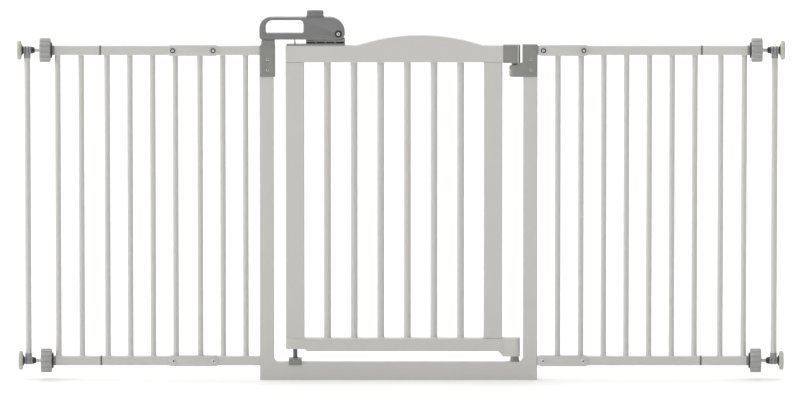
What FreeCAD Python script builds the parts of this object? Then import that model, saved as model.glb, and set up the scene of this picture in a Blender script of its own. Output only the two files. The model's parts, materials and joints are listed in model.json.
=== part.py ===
"""Pressure-mounted walk-through safety gate: one STEP file for each kind of piece.

Frame: millimetres, +Z up, +X to the right of someone facing the front, front towards -Y.
The origin is on the floor, in the middle of the gate's width and depth.
"""
import FreeCAD, Part
import math
import os

from FreeCAD import Vector

os.makedirs("parts", exist_ok=True)

# ---------------------------------------------------------------- driving dimensions
# Walk-through frame
opening_width = 518.0
rail_top = 700.0
post_width = 30.0
post_depth = 20.0
post_wall = 1.2
post_corner = 2.5
post_drop = 2.0                # the posts stop this far below the top of the rails
threshold_height = 38.0
threshold_wall = 1.5
threshold_corner = 8.0         # weld fillet where the threshold meets a post

# Side panels
rail_size = 19.0
rail_wall = 1.0
rail_corner = 2.0
rail_low = 30.5                # underside of the bottom rails
bar_diameter = 12.0
bar_wall = 0.7
bar_pitch = 47.3
left_stub = 138.0
left_stub_bars = 3
right_stub = 54.0
right_stub_bars = 1
stub_bar_inset = 14.5          # last left stub bar, from the joint
right_stub_inset = 11.5        # right stub bar, from its joint
left_extension_bars = 4
right_extension_bars = 6
extension_first = 36.5         # joint to the first extension bar
extension_tail = 12.0          # last extension bar to the end of its rail
seam_flange = 4.0
plug_depth = 25.0
plug_wall = 1.6
end_rail_length = 92.9
end_bar_inset = 6.3            # outer end bar, from the end of the rail
end_bar_pitch = 48.8
end_bar_count = 2

# Joint plates and their screws
plate_length = 104.0
plate_thickness = 1.5
plate_corner = 4.0
plate_screw_reach = 42.0
screw_shank = 5.0
screw_head = 9.5
screw_head_height = 2.6
screw_head_round = 1.5
screw_tip = 1.5                # shank beyond the nut
recess_length = 5.2
recess_width = 1.1
recess_depth = 1.4
nut_flats = 8.0
nut_thickness = 4.0

# Tension wheels, bolts, clips and wall pads
collar_thickness = 4.9
disc_diameter = 33.0
disc_thickness = 3.0
disc_chamfer = 1.0
wheel_gap = 0.3
wheel_diameter = 50.0
wheel_width = 23.0
wheel_flutes = 14
wheel_flute_radius = 4.2
wheel_flute_depth = 1.7
wheel_hub = 20.0
wheel_dish = 2.5
wheel_hub_slope = 1.5
wheel_rim_width = 3.0
wheel_rim_slope = 1.0
wheel_chamfer = 1.5
bolt_diameter = 8.0
thread_pitch = 2.0
thread_depth = 0.55
thread_root_share = 0.45       # of the pitch, from crest to root
thread_crest_share = 0.9       # of the pitch, from crest to the next crest
thread_show = 10.2
bolt_length = 140.0
bolt_grip = 19.0               # bolt inside the stem
insert_flats = 13.0
insert_thickness = 7.0
stem_length = 27.0
stem_nose = 12.0               # diameter where the bolt enters
stem_flare = 15.0
stem_groove = 11.6
stem_foot = 24.0
stem_lip = 1.0
clip_shoulder = 1.5            # step of the stem beside the clip
clip_offset = 2.0              # clip beyond the middle of the stem
clip_diameter = 16.4
clip_width = 16.6
clip_chamfer = 1.0
clip_collar = 14.0
clip_drop = 16.0               # rail centre to the end of the clip's collar
clip_plug = 18.0
rod_diameter = 13.0
rod_wall = 0.8
pad_diameter = 40.0
pad_thickness = 9.5
pad_round = 2.5
pad_groove_radii = (14.0, 11.0, 8.0)
pad_groove_depth = 0.8
pad_groove_mouth = 0.7         # half widths of a groove at the face and at its floor
pad_groove_floor = 0.4

# Door
door_depth = 24.0
door_gap_left = 24.2
door_gap_right = 41.2
right_stile_setback = 1.6      # right stile, from the end of the rails
door_wall = 1.2
doocorner = 2.5
top_rail_height = 35.0
top_rail_rise = 1.0            # door's top rail above the side rails
stile_width = 39.2
reveal = 0.8
neck_depth = 8.0
bottom_rail_low = 60.5
bottom_rail_height = 27.5
door_bar_diameter = 15.0
door_bar_count = 6
top_rail_corner = 1.5
top_rail_round = 1.4
rail_mouth = 3.0               # wall left out at the rail's open end
arch_rise = 21.3
arch_offset = 22.6             # handle to the start of the arch
arch_blend = 20.0
foot_drop = 4.8                # latch foot: its underside above the bottom rail's underside
foot_ramp = 6.0                # bevel on the rail's end beside the latch foot
tenon_reach = 18.0             # how far a block's tenon goes into a rail
foot_tenon_rise = 4.0          # latch foot's tenon, beyond the stile's neck

# Hinges
hinge_reach = 16.9             # post to the hinge axis
knuckle_radius = 11.2
hinge_collar_diameter = 14.0
hinge_pin_diameter = 7.0
lower_pin_diameter = 8.0
lower_pin_height = 31.0
pin_floor = 1.0                # socket floor under the lower pin
pin_headroom = 0.5
pin_chamfer = 1.0
socket_height = 11.2
socket_top = 16.6
socket_foot = 20.0
turning_gap = 0.3              # between faces that turn over each other
hinge_drop = 1.5               # upper block below the door's top rail
hinge_block_rise = 1.0         # upper block above it
hinge_block_round = 1.2
tenon_play = 0.5
upper_pin_grip = 20.0
upper_pin_low = 4.0            # pin's end above the bracket's underside
lower_block_slope = 0.85       # run of the lower block's step for each unit of rise
ledge_radius = 11.8
ledge_clearance = 0.5
ledge_slope = 6.5
ledge_chamfer = 3.0
ledge_root = 4.0               # how far the ledge runs into the cap
ledge_seat_depth = 12.5
counterbore_diameter = 15.0

# Brackets on the posts
bracket_side = 2.6             # bracket cheeks, beyond the post's front and back
bracket_height = 62.3
bracket_cap = 3.5
bracket_inner = 3.2
bracket_margin = 1.4
bracket_corner = 2.0
hinge_bracket_inner = 1.6
hinge_bracket_outer = 0.2
hinge_bracket_rise = 1.5       # hinge bracket above the latch bracket
ear_height = 10.8
ear_slot = 8.8
ear_inset = 2.7
ear_side = 1.1
ear_end = 0.6
ear_wall = 3.0
ear_corner = 3.0
bracket_screw_low = 14.7
bracket_screw_pitch = 21.8
bracket_screw_head = 7.0
bracket_screw_shank = 3.5
bracket_screw_length = 9.0
bracket_recess = 2.1
bracket_head_sink = 0.9        # screw head below the bracket's face
left_bracket_screw_inset = 16.7
right_bracket_screw_inset = 13.6

# Handle, its base and the release button
pivot_inset = 110.0            # door's left end to the pivot
handle_lift = 12.5             # underside above the door's top rail
handle_height = 46.5
handle_depth = 26.0
handle_nose = 24.0
handle_heel = 32.0
handle_toe = 6.5
handle_round = 2.2
pivot_height = 24.5            # above the door's top rail
pivot_boss = 13.5
pivot_pin_diameter = 7.0
pivot_pin_proud = 0.3
washer_diameter = 15.0
washer_thickness = 0.7
hole_inset = 13.6
hole_length = 78.0
hole_low = 13.0
hole_height = 27.5
hole_corner_low = 3.0
hole_corner_right = 8.0
hole_corner_left = 14.0
pocket_length = 67.5
pocket_end = 10.0
pocket_depth = 19.6
well_margin = 2.0
shelf_low = 21.5
shelf_thickness = 2.5
roof_thickness = 4.0
base_plate = 2.5
base_depth = 23.0
base_corner = 2.0
base_body_height = 10.5
base_rib = 2.5
base_overhang = 2.5
base_ledge = 1.9               # sloped ledge where the body stands back from the plate
base_ledge_land = 0.2
base_roof = 2.4
base_window_count = 4
base_window_depth = 6.0
base_screw_shank = 3.5
base_screw_head = 7.0
base_screw_length = 11.0
base_screw_inset = 6.0
base_screw_beside_rod = 12.4
ear_thickness = 2.8
ear_radius = 6.5
ear_play = 0.5
pivot_stop_gap = 0.5
stop_start = 2.0
stop_height = 4.5
tongue_length = 18.0
tongue_thickness = 7.2
tongue_inset = 9.6
tongue_reach = 9.9
tongue_root = 8.5
tongue_chamfer = 1.0
button_length = 34.7
button_depth = 18.0
button_height = 14.7
button_inset = 2.0
button_gap = 0.4
button_round = 2.5
spigot_length = 7.0
spigot_radius = 2.5
flange_lip = 0.7
flange_reach = 0.6
flange_gap = 0.3
flange_thickness = 2.4

# Latch rod
rod_wire = 3.0
rod_play = 0.6
rod_grip = 14.0                # rod inside the latch pin
link_pin_diameter = 3.0
link_pin_inset = 0.5
link_drop = 6.0                # link pin below the pivot
eye_width = 9.0
eye_thickness = 4.4
eye_play = 0.6
eye_below = 5.0                # eye below and above the link pin
eye_above = 4.0
eye_corner = 2.0
eye_slot = 12.0                # slot in the handle that the eye moves in
eye_slot_roof = 2.0
latch_pin_diameter = 9.0
latch_tip_diameter = 11.4
latch_tip_gap = 0.5
latch_tip_chamfer = 1.0
latch_tip_barrel = 4.0         # heights of the tip's straight part and of its shoulder
latch_tip_shoulder = 8.7
latch_pin_length = 63.7
saddle_length = 27.0
saddle_pocket = 13.0
saddle_height = 7.5
saddle_floor = 1.8
saddle_lip = 6.4
saddle_side = 2.6
saddle_corner = 1.5
saddle_pocket_corner = 2.0
spring_wire = 1.0
spring_seat_height = 150.0
spring_seat_thickness = 8.0
spring_seat_corner = 1.2
spring_seat_play = 0.4
latch_spring_radius = 3.2
latch_spring_turns = 9
button_spring_radius = 3.6
button_spring_turns = 5

running = 0.1                  # radial clearance of a pin that turns or slides
slip = 0.2                     # clearance of a part that slips into another
overlap = 1.0                  # how far a cutter or a joined block passes a face
touching = 1e-6                # two faces or ends this close are the same
parallel = 0.99                # cosine above which an edge runs along a direction
least_radius = 0.3             # smallest inside corner of a tube

# ---------------------------------------------------------------- derived places
left_extension = extension_first + (left_extension_bars - 1) * bar_pitch + extension_tail
right_extension = extension_first + (right_extension_bars - 1) * bar_pitch + extension_tail
frame_width = opening_width + 2 * post_width
run_half = (frame_width + left_stub + right_stub + left_extension + right_extension) / 2

left_joint = -run_half + left_extension
right_joint = run_half - right_extension
post_left_out = left_joint + left_stub
post_left_in = post_left_out + post_width
post_right_in = post_left_in + opening_width
post_right_out = post_right_in + post_width
post_top = rail_top - post_drop
left_bracket_screw_x = post_left_out + left_bracket_screw_inset
right_bracket_screw_x = post_right_out - right_bracket_screw_inset
bracket_front = -post_depth / 2 - bracket_side

rail_high = rail_top - rail_size                     # underside of the top rails
rail_levels = (rail_low, rail_high)
rail_centres = tuple(level + rail_size / 2 for level in rail_levels)
bars_low = rail_low + rail_size
end_rail_start = run_half + seam_flange
end_rail_end = end_rail_start + end_rail_length

disc_start = end_rail_end + collar_thickness
wheel_start = disc_start + disc_thickness + wheel_gap
wheel_end = wheel_start + wheel_width
stem_start = wheel_end + thread_show
pad_start = stem_start + stem_length
pad_end = pad_start + pad_thickness
bolt_end = stem_start + bolt_grip
bolt_start = bolt_end - bolt_length
clip_centre = stem_start + stem_length / 2 + clip_offset

door_left = post_left_in + door_gap_left
door_right = post_right_in - door_gap_right
door_top = rail_top + top_rail_rise
door_rail_low = door_top - top_rail_height
door_rail_top = bottom_rail_low + bottom_rail_height
hinge_x = post_right_in - hinge_reach
right_stile_end = door_right - right_stile_setback
half_door = door_depth / 2

pivot_x = door_left + pivot_inset
pivot_z = door_top + pivot_height
handle_low = door_top + handle_lift
handle_top = handle_low + handle_height
handle_left = post_left_out
handle_right = pivot_x + pivot_boss
pocket_left = pivot_x - pocket_length
hole_left = handle_left + hole_inset
hole_right = hole_left + hole_length
arch_left = handle_right + arch_offset
arch_right = right_stile_end - stile_width

rod_x = door_left + stile_width / 2
link_z = pivot_z - link_drop
foot_low = bottom_rail_low + foot_drop
latch_tip_low = threshold_height + saddle_floor + latch_tip_gap
latch_pin_top = latch_tip_low + latch_pin_length
base_left = door_left + base_overhang
base_right = pivot_x + pivot_boss + pivot_stop_gap


# ---------------------------------------------------------------- building blocks
def box(x0, x1, y0, y1, z0, z1):
    """Rectangular block between two corners."""
    return Part.makeBox(x1 - x0, y1 - y0, z1 - z0, Vector(x0, y0, z0))


def rounded_box(x0, x1, y0, y1, z0, z1, radius, along):
    """Block whose four edges along one axis are rounded."""
    block = box(x0, x1, y0, y1, z0, z1)
    direction = Vector(*[float(axis == along) for axis in "xyz"])
    edges = [edge for edge in block.Edges if abs(edge.tangentAt(0).dot(direction)) > parallel]
    return block.makeFillet(radius, edges)


def tube_along_x(x0, x1, y_half, z0, z1, wall, radius):
    """Rectangular tube lying along X, open at both ends."""
    outer = rounded_box(x0, x1, -y_half, y_half, z0, z1, radius, "x")
    inner = rounded_box(x0, x1, wall - y_half, y_half - wall, z0 + wall, z1 - wall,
                        max(radius - wall, least_radius), "x")
    return outer.cut(inner)


def tube_along_z(x0, x1, y_half, z0, z1, wall, radius):
    """Rectangular tube standing along Z, open at both ends."""
    outer = rounded_box(x0, x1, -y_half, y_half, z0, z1, radius, "z")
    inner = rounded_box(x0 + wall, x1 - wall, wall - y_half, y_half - wall, z0, z1,
                        max(radius - wall, least_radius), "z")
    return outer.cut(inner)


def pillar(x, y, z0, z1, radius):
    """Solid cylinder along Z."""
    return Part.makeCylinder(radius, z1 - z0, Vector(x, y, z0))


def crossbar(x, z, y0, y1, radius):
    """Solid cylinder along Y."""
    return Part.makeCylinder(radius, y1 - y0, Vector(x, y0, z), Vector(0, 1, 0))


def hollow_bar(x, z0, z1, diameter, wall):
    """Round tube along Z."""
    return pillar(x, 0, z0, z1, diameter / 2).cut(pillar(x, 0, z0, z1, diameter / 2 - wall))


def cone(x, y, z0, z1, radius0, radius1):
    """Cone frustum along Z."""
    return Part.makeCone(radius0, radius1, z1 - z0, Vector(x, y, z0))


def turned(profile, side, z):
    """Solid of revolution about the X line at height z; profile is (distance, radius)."""
    points = [Vector(side * distance, 0, z + radius) for distance, radius in profile]
    face = Part.Face(Part.makePolygon(points + points[:1]))
    solid = face.revolve(Vector(0, 0, z), Vector(1, 0, 0), 360)
    return oriented(solid)


def oriented(shape):
    """The same solid with its faces pointing outwards."""
    if shape.Volume < 0:
        shape.reverse()
    return shape


def plate_outline(points, y0, y1):
    """Flat outline of (x, z) corners, given thickness along Y."""
    corners = [Vector(x, y0, z) for x, z in points]
    face = Part.Face(Part.makePolygon(corners + corners[:1]))
    return oriented(face.extrude(Vector(0, y1 - y0, 0)))


def arc(centre, radius, start, end):
    """Arc in the XZ plane between two angles in degrees."""
    points = []
    for angle in (start, (start + end) / 2, end):
        turn = math.radians(angle)
        points.append(Vector(centre[0] + radius * math.cos(turn), 0, centre[1] + radius * math.sin(turn)))
    return Part.Arc(*points).toShape()


def closed_outline(arcs):
    """Arcs in order round an outline, joined by straight runs, as one closed wire."""
    edges = []
    for index, piece in enumerate(arcs):
        edges.append(piece)
        gap_start = piece.Vertexes[-1].Point
        gap_end = arcs[(index + 1) % len(arcs)].Vertexes[0].Point
        if gap_start.distanceToPoint(gap_end) > touching:
            edges.append(Part.LineSegment(gap_start, gap_end).toShape())
    return Part.Wire(edges)


def thickened(wire, y0, y1):
    """Closed XZ wire given thickness along Y."""
    face = Part.Face(wire)
    face.translate(Vector(0, y0, 0))
    return oriented(face.extrude(Vector(0, y1 - y0, 0)))


def hexagon_points(flats):
    """Corners of a hexagon, as offsets from its middle."""
    reach = flats / math.sqrt(3)
    turns = [math.radians(60 * k) for k in range(6)]
    return [(reach * math.cos(turn), reach * math.sin(turn)) for turn in turns]


def hexagon_along_x(flats, x0, x1, side, z):
    """Hexagonal block along X."""
    start = min(side * x0, side * x1)
    points = [Vector(start, across, z + up) for across, up in hexagon_points(flats)]
    return oriented(Part.Face(Part.makePolygon(points + points[:1])).extrude(Vector(abs(x1 - x0), 0, 0)))


def hexagon_along_y(flats, x, z, y0, y1):
    """Hexagonal block along Y."""
    return plate_outline([(x + across, z + up) for across, up in hexagon_points(flats)], y0, y1)


def cross_recess(x, z, y_face):
    """Cutter for a cross-head recess in a screw that faces the front."""
    half = recess_length / 2
    slot = recess_width / 2
    floor = y_face + recess_depth
    arms = box(x - half, x + half, y_face, floor, z - slot, z + slot)
    return arms.fuse(box(x - slot, x + slot, y_face, floor, z - half, z + half))


def save(node, solids):
    """Writes one node's solids to its STEP file."""
    shape = solids[0] if len(solids) == 1 else Part.makeCompound(solids)
    shape.exportStep(f"parts/{node}.step")


# ---------------------------------------------------------------- walk-through frame
def post(x0):
    """Upright tube of the walk-through frame."""
    return tube_along_z(x0, x0 + post_width, post_depth / 2, 0, post_top, post_wall, post_corner)


def threshold_bar():
    """Threshold tube between the posts, with a weld fillet at each end."""
    half = post_depth / 2
    bar = box(post_left_in, post_right_in, -half, half, 0, threshold_height)
    for corner, direction in ((post_left_in, 1), (post_right_in, -1)):
        centre_x = corner + direction * threshold_corner
        gusset = box(min(corner, centre_x), max(corner, centre_x), -half, half,
                     threshold_height, threshold_height + threshold_corner)
        bar = bar.fuse(gusset.cut(crossbar(centre_x, threshold_height + threshold_corner, -half, half,
                                           threshold_corner)))
    hollow = box(post_left_in, post_right_in, threshold_wall - half, half - threshold_wall,
                 threshold_wall, threshold_height - threshold_wall)
    return bar.cut(hollow).removeSplitter()


# ---------------------------------------------------------------- side panels
def side_rail(x0, x1, low):
    """Square rail of a side panel."""
    return tube_along_x(x0, x1, rail_size / 2, low, low + rail_size, rail_wall, rail_corner)


def plate_screw_places():
    """Every screw of the joint plates, as (x, z)."""
    return [(joint + reach, centre) for joint in (left_joint, right_joint)
            for reach in (-plate_screw_reach, plate_screw_reach) for centre in rail_centres]


def drilled(rails):
    """Rails with the holes for the joint-plate screws."""
    cutters = [crossbar(x, z, -rail_size, rail_size, screw_shank / 2) for x, z in plate_screw_places()]
    result = []
    for rail in rails:
        for cutter in cutters:
            if rail.BoundBox.intersect(cutter.BoundBox):
                rail = rail.cut(cutter)
        result.append(rail)
    return result


def main_rails():
    """Short rails welded to the posts."""
    return drilled([side_rail(x0, x1, low) for low in rail_levels
                    for x0, x1 in ((left_joint, post_left_out), (post_right_out, right_joint))])


def extension_rails(side):
    """Top and bottom rails of one clip-on extension."""
    x0, x1 = (-run_half, left_joint) if side < 0 else (right_joint, run_half)
    return drilled([side_rail(x0, x1, low) for low in rail_levels])


def end_rails():
    """Rails of the two end sections, which hold the tension bolts."""
    spans = [sorted((side * end_rail_start, side * end_rail_end)) for side in (-1, 1)]
    return [side_rail(x0, x1, low) for x0, x1 in spans for low in rail_levels]


def main_bar_places():
    """Bars of the walk-through frame's own side panels."""
    left = [left_joint + stub_bar_inset + k * bar_pitch for k in range(left_stub_bars)]
    right = [right_joint - right_stub_inset - k * bar_pitch for k in range(right_stub_bars)]
    return left + right


def extension_bar_places(side):
    """Bars of one extension, from its joint outwards."""
    joint, count = (left_joint, left_extension_bars) if side < 0 else (right_joint, right_extension_bars)
    return [joint + side * (extension_first + k * bar_pitch) for k in range(count)]


def end_bar_places():
    """Bars of the end sections."""
    outer = end_rail_end - end_bar_inset
    return [side * (outer - k * end_bar_pitch) for side in (-1, 1) for k in range(end_bar_count)]


def side_bars(places):
    """Upright bars between the rails."""
    return [hollow_bar(x, bars_low, rail_high, bar_diameter, bar_wall) for x in places]


def rail_plug(x0, x1, z, bore):
    """Square plug inside a rail, with an opening through it."""
    half = rail_size / 2 - rail_wall
    body = rounded_box(x0, x1, -half, half, z - half, z + half, rail_corner - rail_wall, "x")
    return body.cut(bore)


def rail_joiners():
    """Dark spacer between an extension and an end section, with a sleeve in both tubes."""
    joiners = []
    for side in (-1, 1):
        for z in rail_centres:
            half = rail_size / 2
            window = half - rail_wall - plug_wall
            x0, x1 = sorted((side * (run_half - plug_depth), side * (end_rail_start + plug_depth)))
            opening = box(x0, x1, -window, window, z - window, z + window)
            f0, f1 = sorted((side * run_half, side * end_rail_start))
            flange = rounded_box(f0, f1, -half, half, z - half, z + half, rail_corner, "x").cut(opening)
            joiners.append(flange.fuse(rail_plug(x0, x1, z, opening)).removeSplitter())
    return joiners


def joint_plates():
    """Channel that wraps a rail joint, with slots for the bars beside it."""
    plates = []
    bars = main_bar_places() + extension_bar_places(-1) + extension_bar_places(1)
    for joint in (left_joint, right_joint):
        for level in rail_levels:
            plates.append(joint_plate(joint, level, bars))
    return plates


def joint_plate(joint, level, bars):
    """One joint plate."""
    half = rail_size / 2
    x0 = joint - plate_length / 2
    x1 = joint + plate_length / 2
    z0 = level - plate_thickness
    z1 = level + rail_size + plate_thickness
    corner = plate_corner
    outline = [(x0 + corner, z0), (x1 - corner, z0), (x1, z0 + corner), (x1, z1 - corner),
               (x1 - corner, z1), (x0 + corner, z1), (x0, z1 - corner), (x0, z0 + corner)]
    plate = plate_outline(outline, -half - plate_thickness, half - plate_thickness)
    plate = plate.cut(box(x0, x1, -half, half, level, level + rail_size))
    for x in bars:
        if x0 - bar_diameter < x < x1 + bar_diameter:
            radius = bar_diameter / 2 + slip
            inner = level + rail_size if level == rail_low else z0
            plate = plate.cut(pillar(x, 0, inner, inner + plate_thickness, radius))
            plate = plate.cut(box(x - radius, x + radius, 0, half, inner, inner + plate_thickness))
    for x, z in plate_screw_places():
        plate = plate.cut(crossbar(x, z, -half - plate_thickness, -half, screw_shank / 2))
    return plate


def joint_screws():
    """Pan-head cross screws with their nuts, through the joint plates and rails."""
    solids = []
    front = -rail_size / 2 - plate_thickness
    back = rail_size / 2
    for x, z in plate_screw_places():
        head = crossbar(x, z, front - screw_head_height, front, screw_head / 2)
        rim = [edge for edge in head.Edges if abs(edge.CenterOfMass.y - front + screw_head_height) < touching]
        head = head.makeFillet(screw_head_round, rim)
        shank = crossbar(x, z, front, back + nut_thickness + screw_tip, screw_shank / 2)
        solids.append(head.fuse(shank).cut(cross_recess(x, z, front - screw_head_height)).removeSplitter())
        nut = hexagon_along_y(nut_flats, x, z, back, back + nut_thickness)
        solids.append(nut.cut(crossbar(x, z, back, back + nut_thickness, screw_shank / 2)))
    return solids


# ---------------------------------------------------------------- tension hardware at the four corners
def rail_end_plugs():
    """Plug, collar and thrust disc in the open end of each end rail."""
    plugs = []
    bore_radius = bolt_diameter / 2 + running
    for side in (-1, 1):
        for z in rail_centres:
            half = rail_size / 2
            bore = turned([(end_rail_end - plug_depth, 0), (end_rail_end - plug_depth, bore_radius),
                           (wheel_start, bore_radius), (wheel_start, 0)], side, z)
            x0, x1 = sorted((side * (end_rail_end - plug_depth), side * end_rail_end))
            c0, c1 = sorted((side * end_rail_end, side * disc_start))
            collar = rounded_box(c0, c1, -half, half, z - half, z + half, rail_corner, "x")
            rim = disc_diameter / 2
            disc_end = disc_start + disc_thickness
            disc = turned([(disc_start, 0), (disc_start, rim - disc_chamfer),
                           (disc_start + disc_chamfer, rim), (disc_end, rim), (disc_end, 0)], side, z)
            plugs.append(rail_plug(x0, x1, z, bore).fuse([collar, disc]).cut(bore).removeSplitter())
    return plugs


def tension_wheel(side, z):
    """Fluted hand wheel with dished faces and a pocket for its nut."""
    rim = wheel_diameter / 2
    hub = wheel_hub / 2
    bore = bolt_diameter / 2 + running
    inner = rim - wheel_rim_width
    face = [(0, bore), (0, hub), (wheel_dish, hub + wheel_hub_slope), (wheel_dish, inner - wheel_rim_slope),
            (0, inner), (0, rim - wheel_chamfer), (wheel_chamfer, rim)]
    profile = [(wheel_start + depth, radius) for depth, radius in face]
    profile += [(wheel_end - depth, radius) for depth, radius in reversed(face)]
    wheel = turned(profile, side, z)
    for k in range(wheel_flutes):
        turn = 2 * math.pi * (k + 0.5) / wheel_flutes
        reach = rim + wheel_flute_radius - wheel_flute_depth
        start = min(side * wheel_start, side * wheel_end)
        wheel = wheel.cut(Part.makeCylinder(wheel_flute_radius, wheel_width,
                                            Vector(start, reach * math.sin(turn), z + reach * math.cos(turn)),
                                            Vector(1, 0, 0)))
    return wheel.cut(hexagon_along_x(insert_flats, wheel_start, wheel_start + insert_thickness, side, z))


def wheel_nut(side, z):
    """Threaded hexagon insert pressed into the wheel."""
    bore = bolt_diameter / 2 + running
    nut = hexagon_along_x(insert_flats, wheel_start, wheel_start + insert_thickness, side, z)
    return nut.cut(turned([(wheel_start, 0), (wheel_start, bore), (wheel_start + insert_thickness, bore),
                           (wheel_start + insert_thickness, 0)], side, z))


def adjuster_bolt(side, z):
    """Threaded bolt; the thread is drawn as rings at the real pitch where it can show."""
    major = bolt_diameter / 2
    minor = major - thread_depth
    rings = int((stem_start - end_rail_end) / thread_pitch)
    profile = [(bolt_start, 0), (bolt_start, minor), (bolt_start + thread_depth, major)]
    for k in range(rings, 0, -1):
        crest = stem_start - k * thread_pitch
        profile += [(crest, major), (crest + thread_pitch * thread_root_share, minor),
                    (crest + thread_pitch * thread_crest_share, major)]
    profile += [(bolt_end, major), (bolt_end, 0)]
    return turned(profile, side, z)


def pad_stem(side, z):
    """Black moulded stem on the bolt's end, with a groove for the rod clip."""
    major = bolt_diameter / 2
    nose = stem_nose / 2
    flare = stem_flare / 2
    groove = stem_groove / 2
    foot = stem_foot / 2
    clip0 = clip_centre - clip_width / 2
    clip1 = clip_centre + clip_width / 2
    profile = [(stem_start, major), (stem_start, nose), (clip0 - stem_lip, flare), (clip0, flare),
               (clip0, groove), (clip1, groove), (clip1, groove + clip_shoulder),
               (pad_start - stem_lip, foot), (pad_start, foot), (pad_start, 0),
               (bolt_end, 0), (bolt_end, major)]
    return turned(profile, side, z)


def rod_clip(side, z):
    """Ring clip round the stem, with the collar and plug that hold the end rod."""
    groove = stem_groove / 2
    outer = clip_diameter / 2
    x0 = clip_centre - clip_width / 2
    x1 = clip_centre + clip_width / 2
    ring = turned([(x0, groove), (x0, outer - clip_chamfer), (x0 + clip_chamfer, outer),
                   (x1 - clip_chamfer, outer), (x1, outer - clip_chamfer), (x1, groove)], side, z)
    inward = 1 if z < rail_top / 2 else -1
    x = side * clip_centre
    stalk_ends = sorted((z, z + inward * clip_drop))
    plug_ends = sorted((z, z + inward * (clip_drop + clip_plug)))
    stalk = pillar(x, 0, stalk_ends[0], stalk_ends[1], clip_collar / 2)
    plug = pillar(x, 0, plug_ends[0], plug_ends[1], rod_diameter / 2 - rod_wall)
    ends = (x0 - overlap, x1 + overlap)
    core = turned([(ends[0], 0), (ends[0], groove), (ends[1], groove), (ends[1], 0)], side, z)
    return ring.fuse([stalk, plug]).cut(core).removeSplitter()


def gap_rod(side):
    """White rod that closes the gap beside the wall pads."""
    low, high = rail_centres
    return hollow_bar(side * clip_centre, low + clip_drop, high - clip_drop, rod_diameter, rod_wall)


def wall_pad(side, z):
    """Rubber pad that presses on the wall, with ring grooves in its face."""
    rim = pad_diameter / 2
    grooves = []
    for radius in pad_groove_radii:
        floor = pad_end - pad_groove_depth
        grooves += [(pad_end, radius + pad_groove_mouth), (floor, radius + pad_groove_floor),
                    (floor, radius - pad_groove_floor), (pad_end, radius - pad_groove_mouth)]
    profile = [(pad_start, 0), (pad_start, rim - pad_round), (pad_start + pad_round, rim),
               (pad_end - pad_round, rim), (pad_end, rim - pad_round)] + grooves + [(pad_end, 0)]
    return turned(profile, side, z)


# ---------------------------------------------------------------- brackets, striker and lower hinge bearing
def bracket_screw_levels():
    """Heights of the two screws in each bracket."""
    first = post_top - bracket_height + bracket_screw_low
    return (first, first + bracket_screw_pitch)


def recessed_for_screws(shape, x):
    """Bracket or post with the recesses and holes for its two screws."""
    recess_end = bracket_front + bracket_recess
    hole_end = bracket_front + bracket_screw_length
    for z in bracket_screw_levels():
        shape = shape.cut(crossbar(x, z, bracket_front, recess_end, bracket_screw_head / 2))
        shape = shape.cut(crossbar(x, z, bracket_front, hole_end, bracket_screw_shank / 2))
    return shape


def latch_catch_bracket():
    """Cap on the latch post, whose two ears trap the handle's tongue."""
    half = post_depth / 2
    reach = half + bracket_side
    x0 = post_left_out + bracket_margin
    x1 = post_left_in + bracket_inner
    low = post_top - bracket_height
    top = post_top + bracket_cap
    body = rounded_box(x0, x1, -reach, reach, low, top, bracket_corner, "x")
    body = body.cut(box(post_left_out, post_left_in, -half, half, low, post_top))
    outer = reach - ear_side
    ear_left = x0 + ear_inset
    ear_right = x1 - ear_end
    ears = rounded_box(ear_left, ear_right, -outer, outer, top - overlap, top + ear_height, ear_corner, "y")
    slot = ear_slot / 2
    ears = ears.cut(box(ear_left + ear_wall, x1, -slot, slot, top, top + ear_height))
    return recessed_for_screws(body.fuse(ears).removeSplitter(), left_bracket_screw_x)


def hinge_bracket():
    """Cap on the hinge post, with the ledge that carries the upper hinge."""
    half = post_depth / 2
    reach = half + bracket_side
    x0 = post_right_in - hinge_bracket_inner
    x1 = post_right_out - hinge_bracket_outer
    low = post_top - bracket_height
    top = post_top + bracket_cap + hinge_bracket_rise
    body = rounded_box(x0, x1, -reach, reach, low, top, bracket_corner, "x")
    ledge_top = upper_block_low() - ledge_clearance
    ledge_left = hinge_x - ledge_radius
    root = x0 + ledge_root
    ledge = plate_outline([(ledge_left, low + ledge_chamfer), (ledge_left + ledge_chamfer, low), (root, low),
                           (root, ledge_top), (x0, ledge_top), (ledge_left, ledge_top - ledge_slope)],
                          -ledge_radius, ledge_radius)
    keep = pillar(hinge_x, 0, low, top, ledge_radius).fuse(
        box(hinge_x, root, -ledge_radius, ledge_radius, low, top))
    body = body.fuse(ledge.common(keep))
    body = body.cut(box(post_right_in, post_right_out, -half, half, low, post_top))
    body = body.cut(pillar(hinge_x, 0, ledge_seat(), top, counterbore_diameter / 2))
    body = body.cut(pillar(hinge_x, 0, low, ledge_seat(), hinge_pin_diameter / 2 + running))
    return recessed_for_screws(body.removeSplitter(), right_bracket_screw_x)


def upper_block_low():
    """Underside of the upper hinge block."""
    return door_rail_low - hinge_drop


def ledge_seat():
    """Floor of the counterbore that the hinge collar turns in."""
    return upper_block_low() - ledge_seat_depth


def bracket_screws():
    """Cross-head screws sunk in the front of both brackets."""
    face = bracket_front + bracket_head_sink
    screws = []
    for x in (left_bracket_screw_x, right_bracket_screw_x):
        for z in bracket_screw_levels():
            head = crossbar(x, z, face, bracket_front + bracket_recess, bracket_screw_head / 2)
            shank = crossbar(x, z, face, bracket_front + bracket_screw_length, bracket_screw_shank / 2)
            screws.append(head.fuse(shank).cut(cross_recess(x, z, face)).removeSplitter())
    return screws


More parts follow.
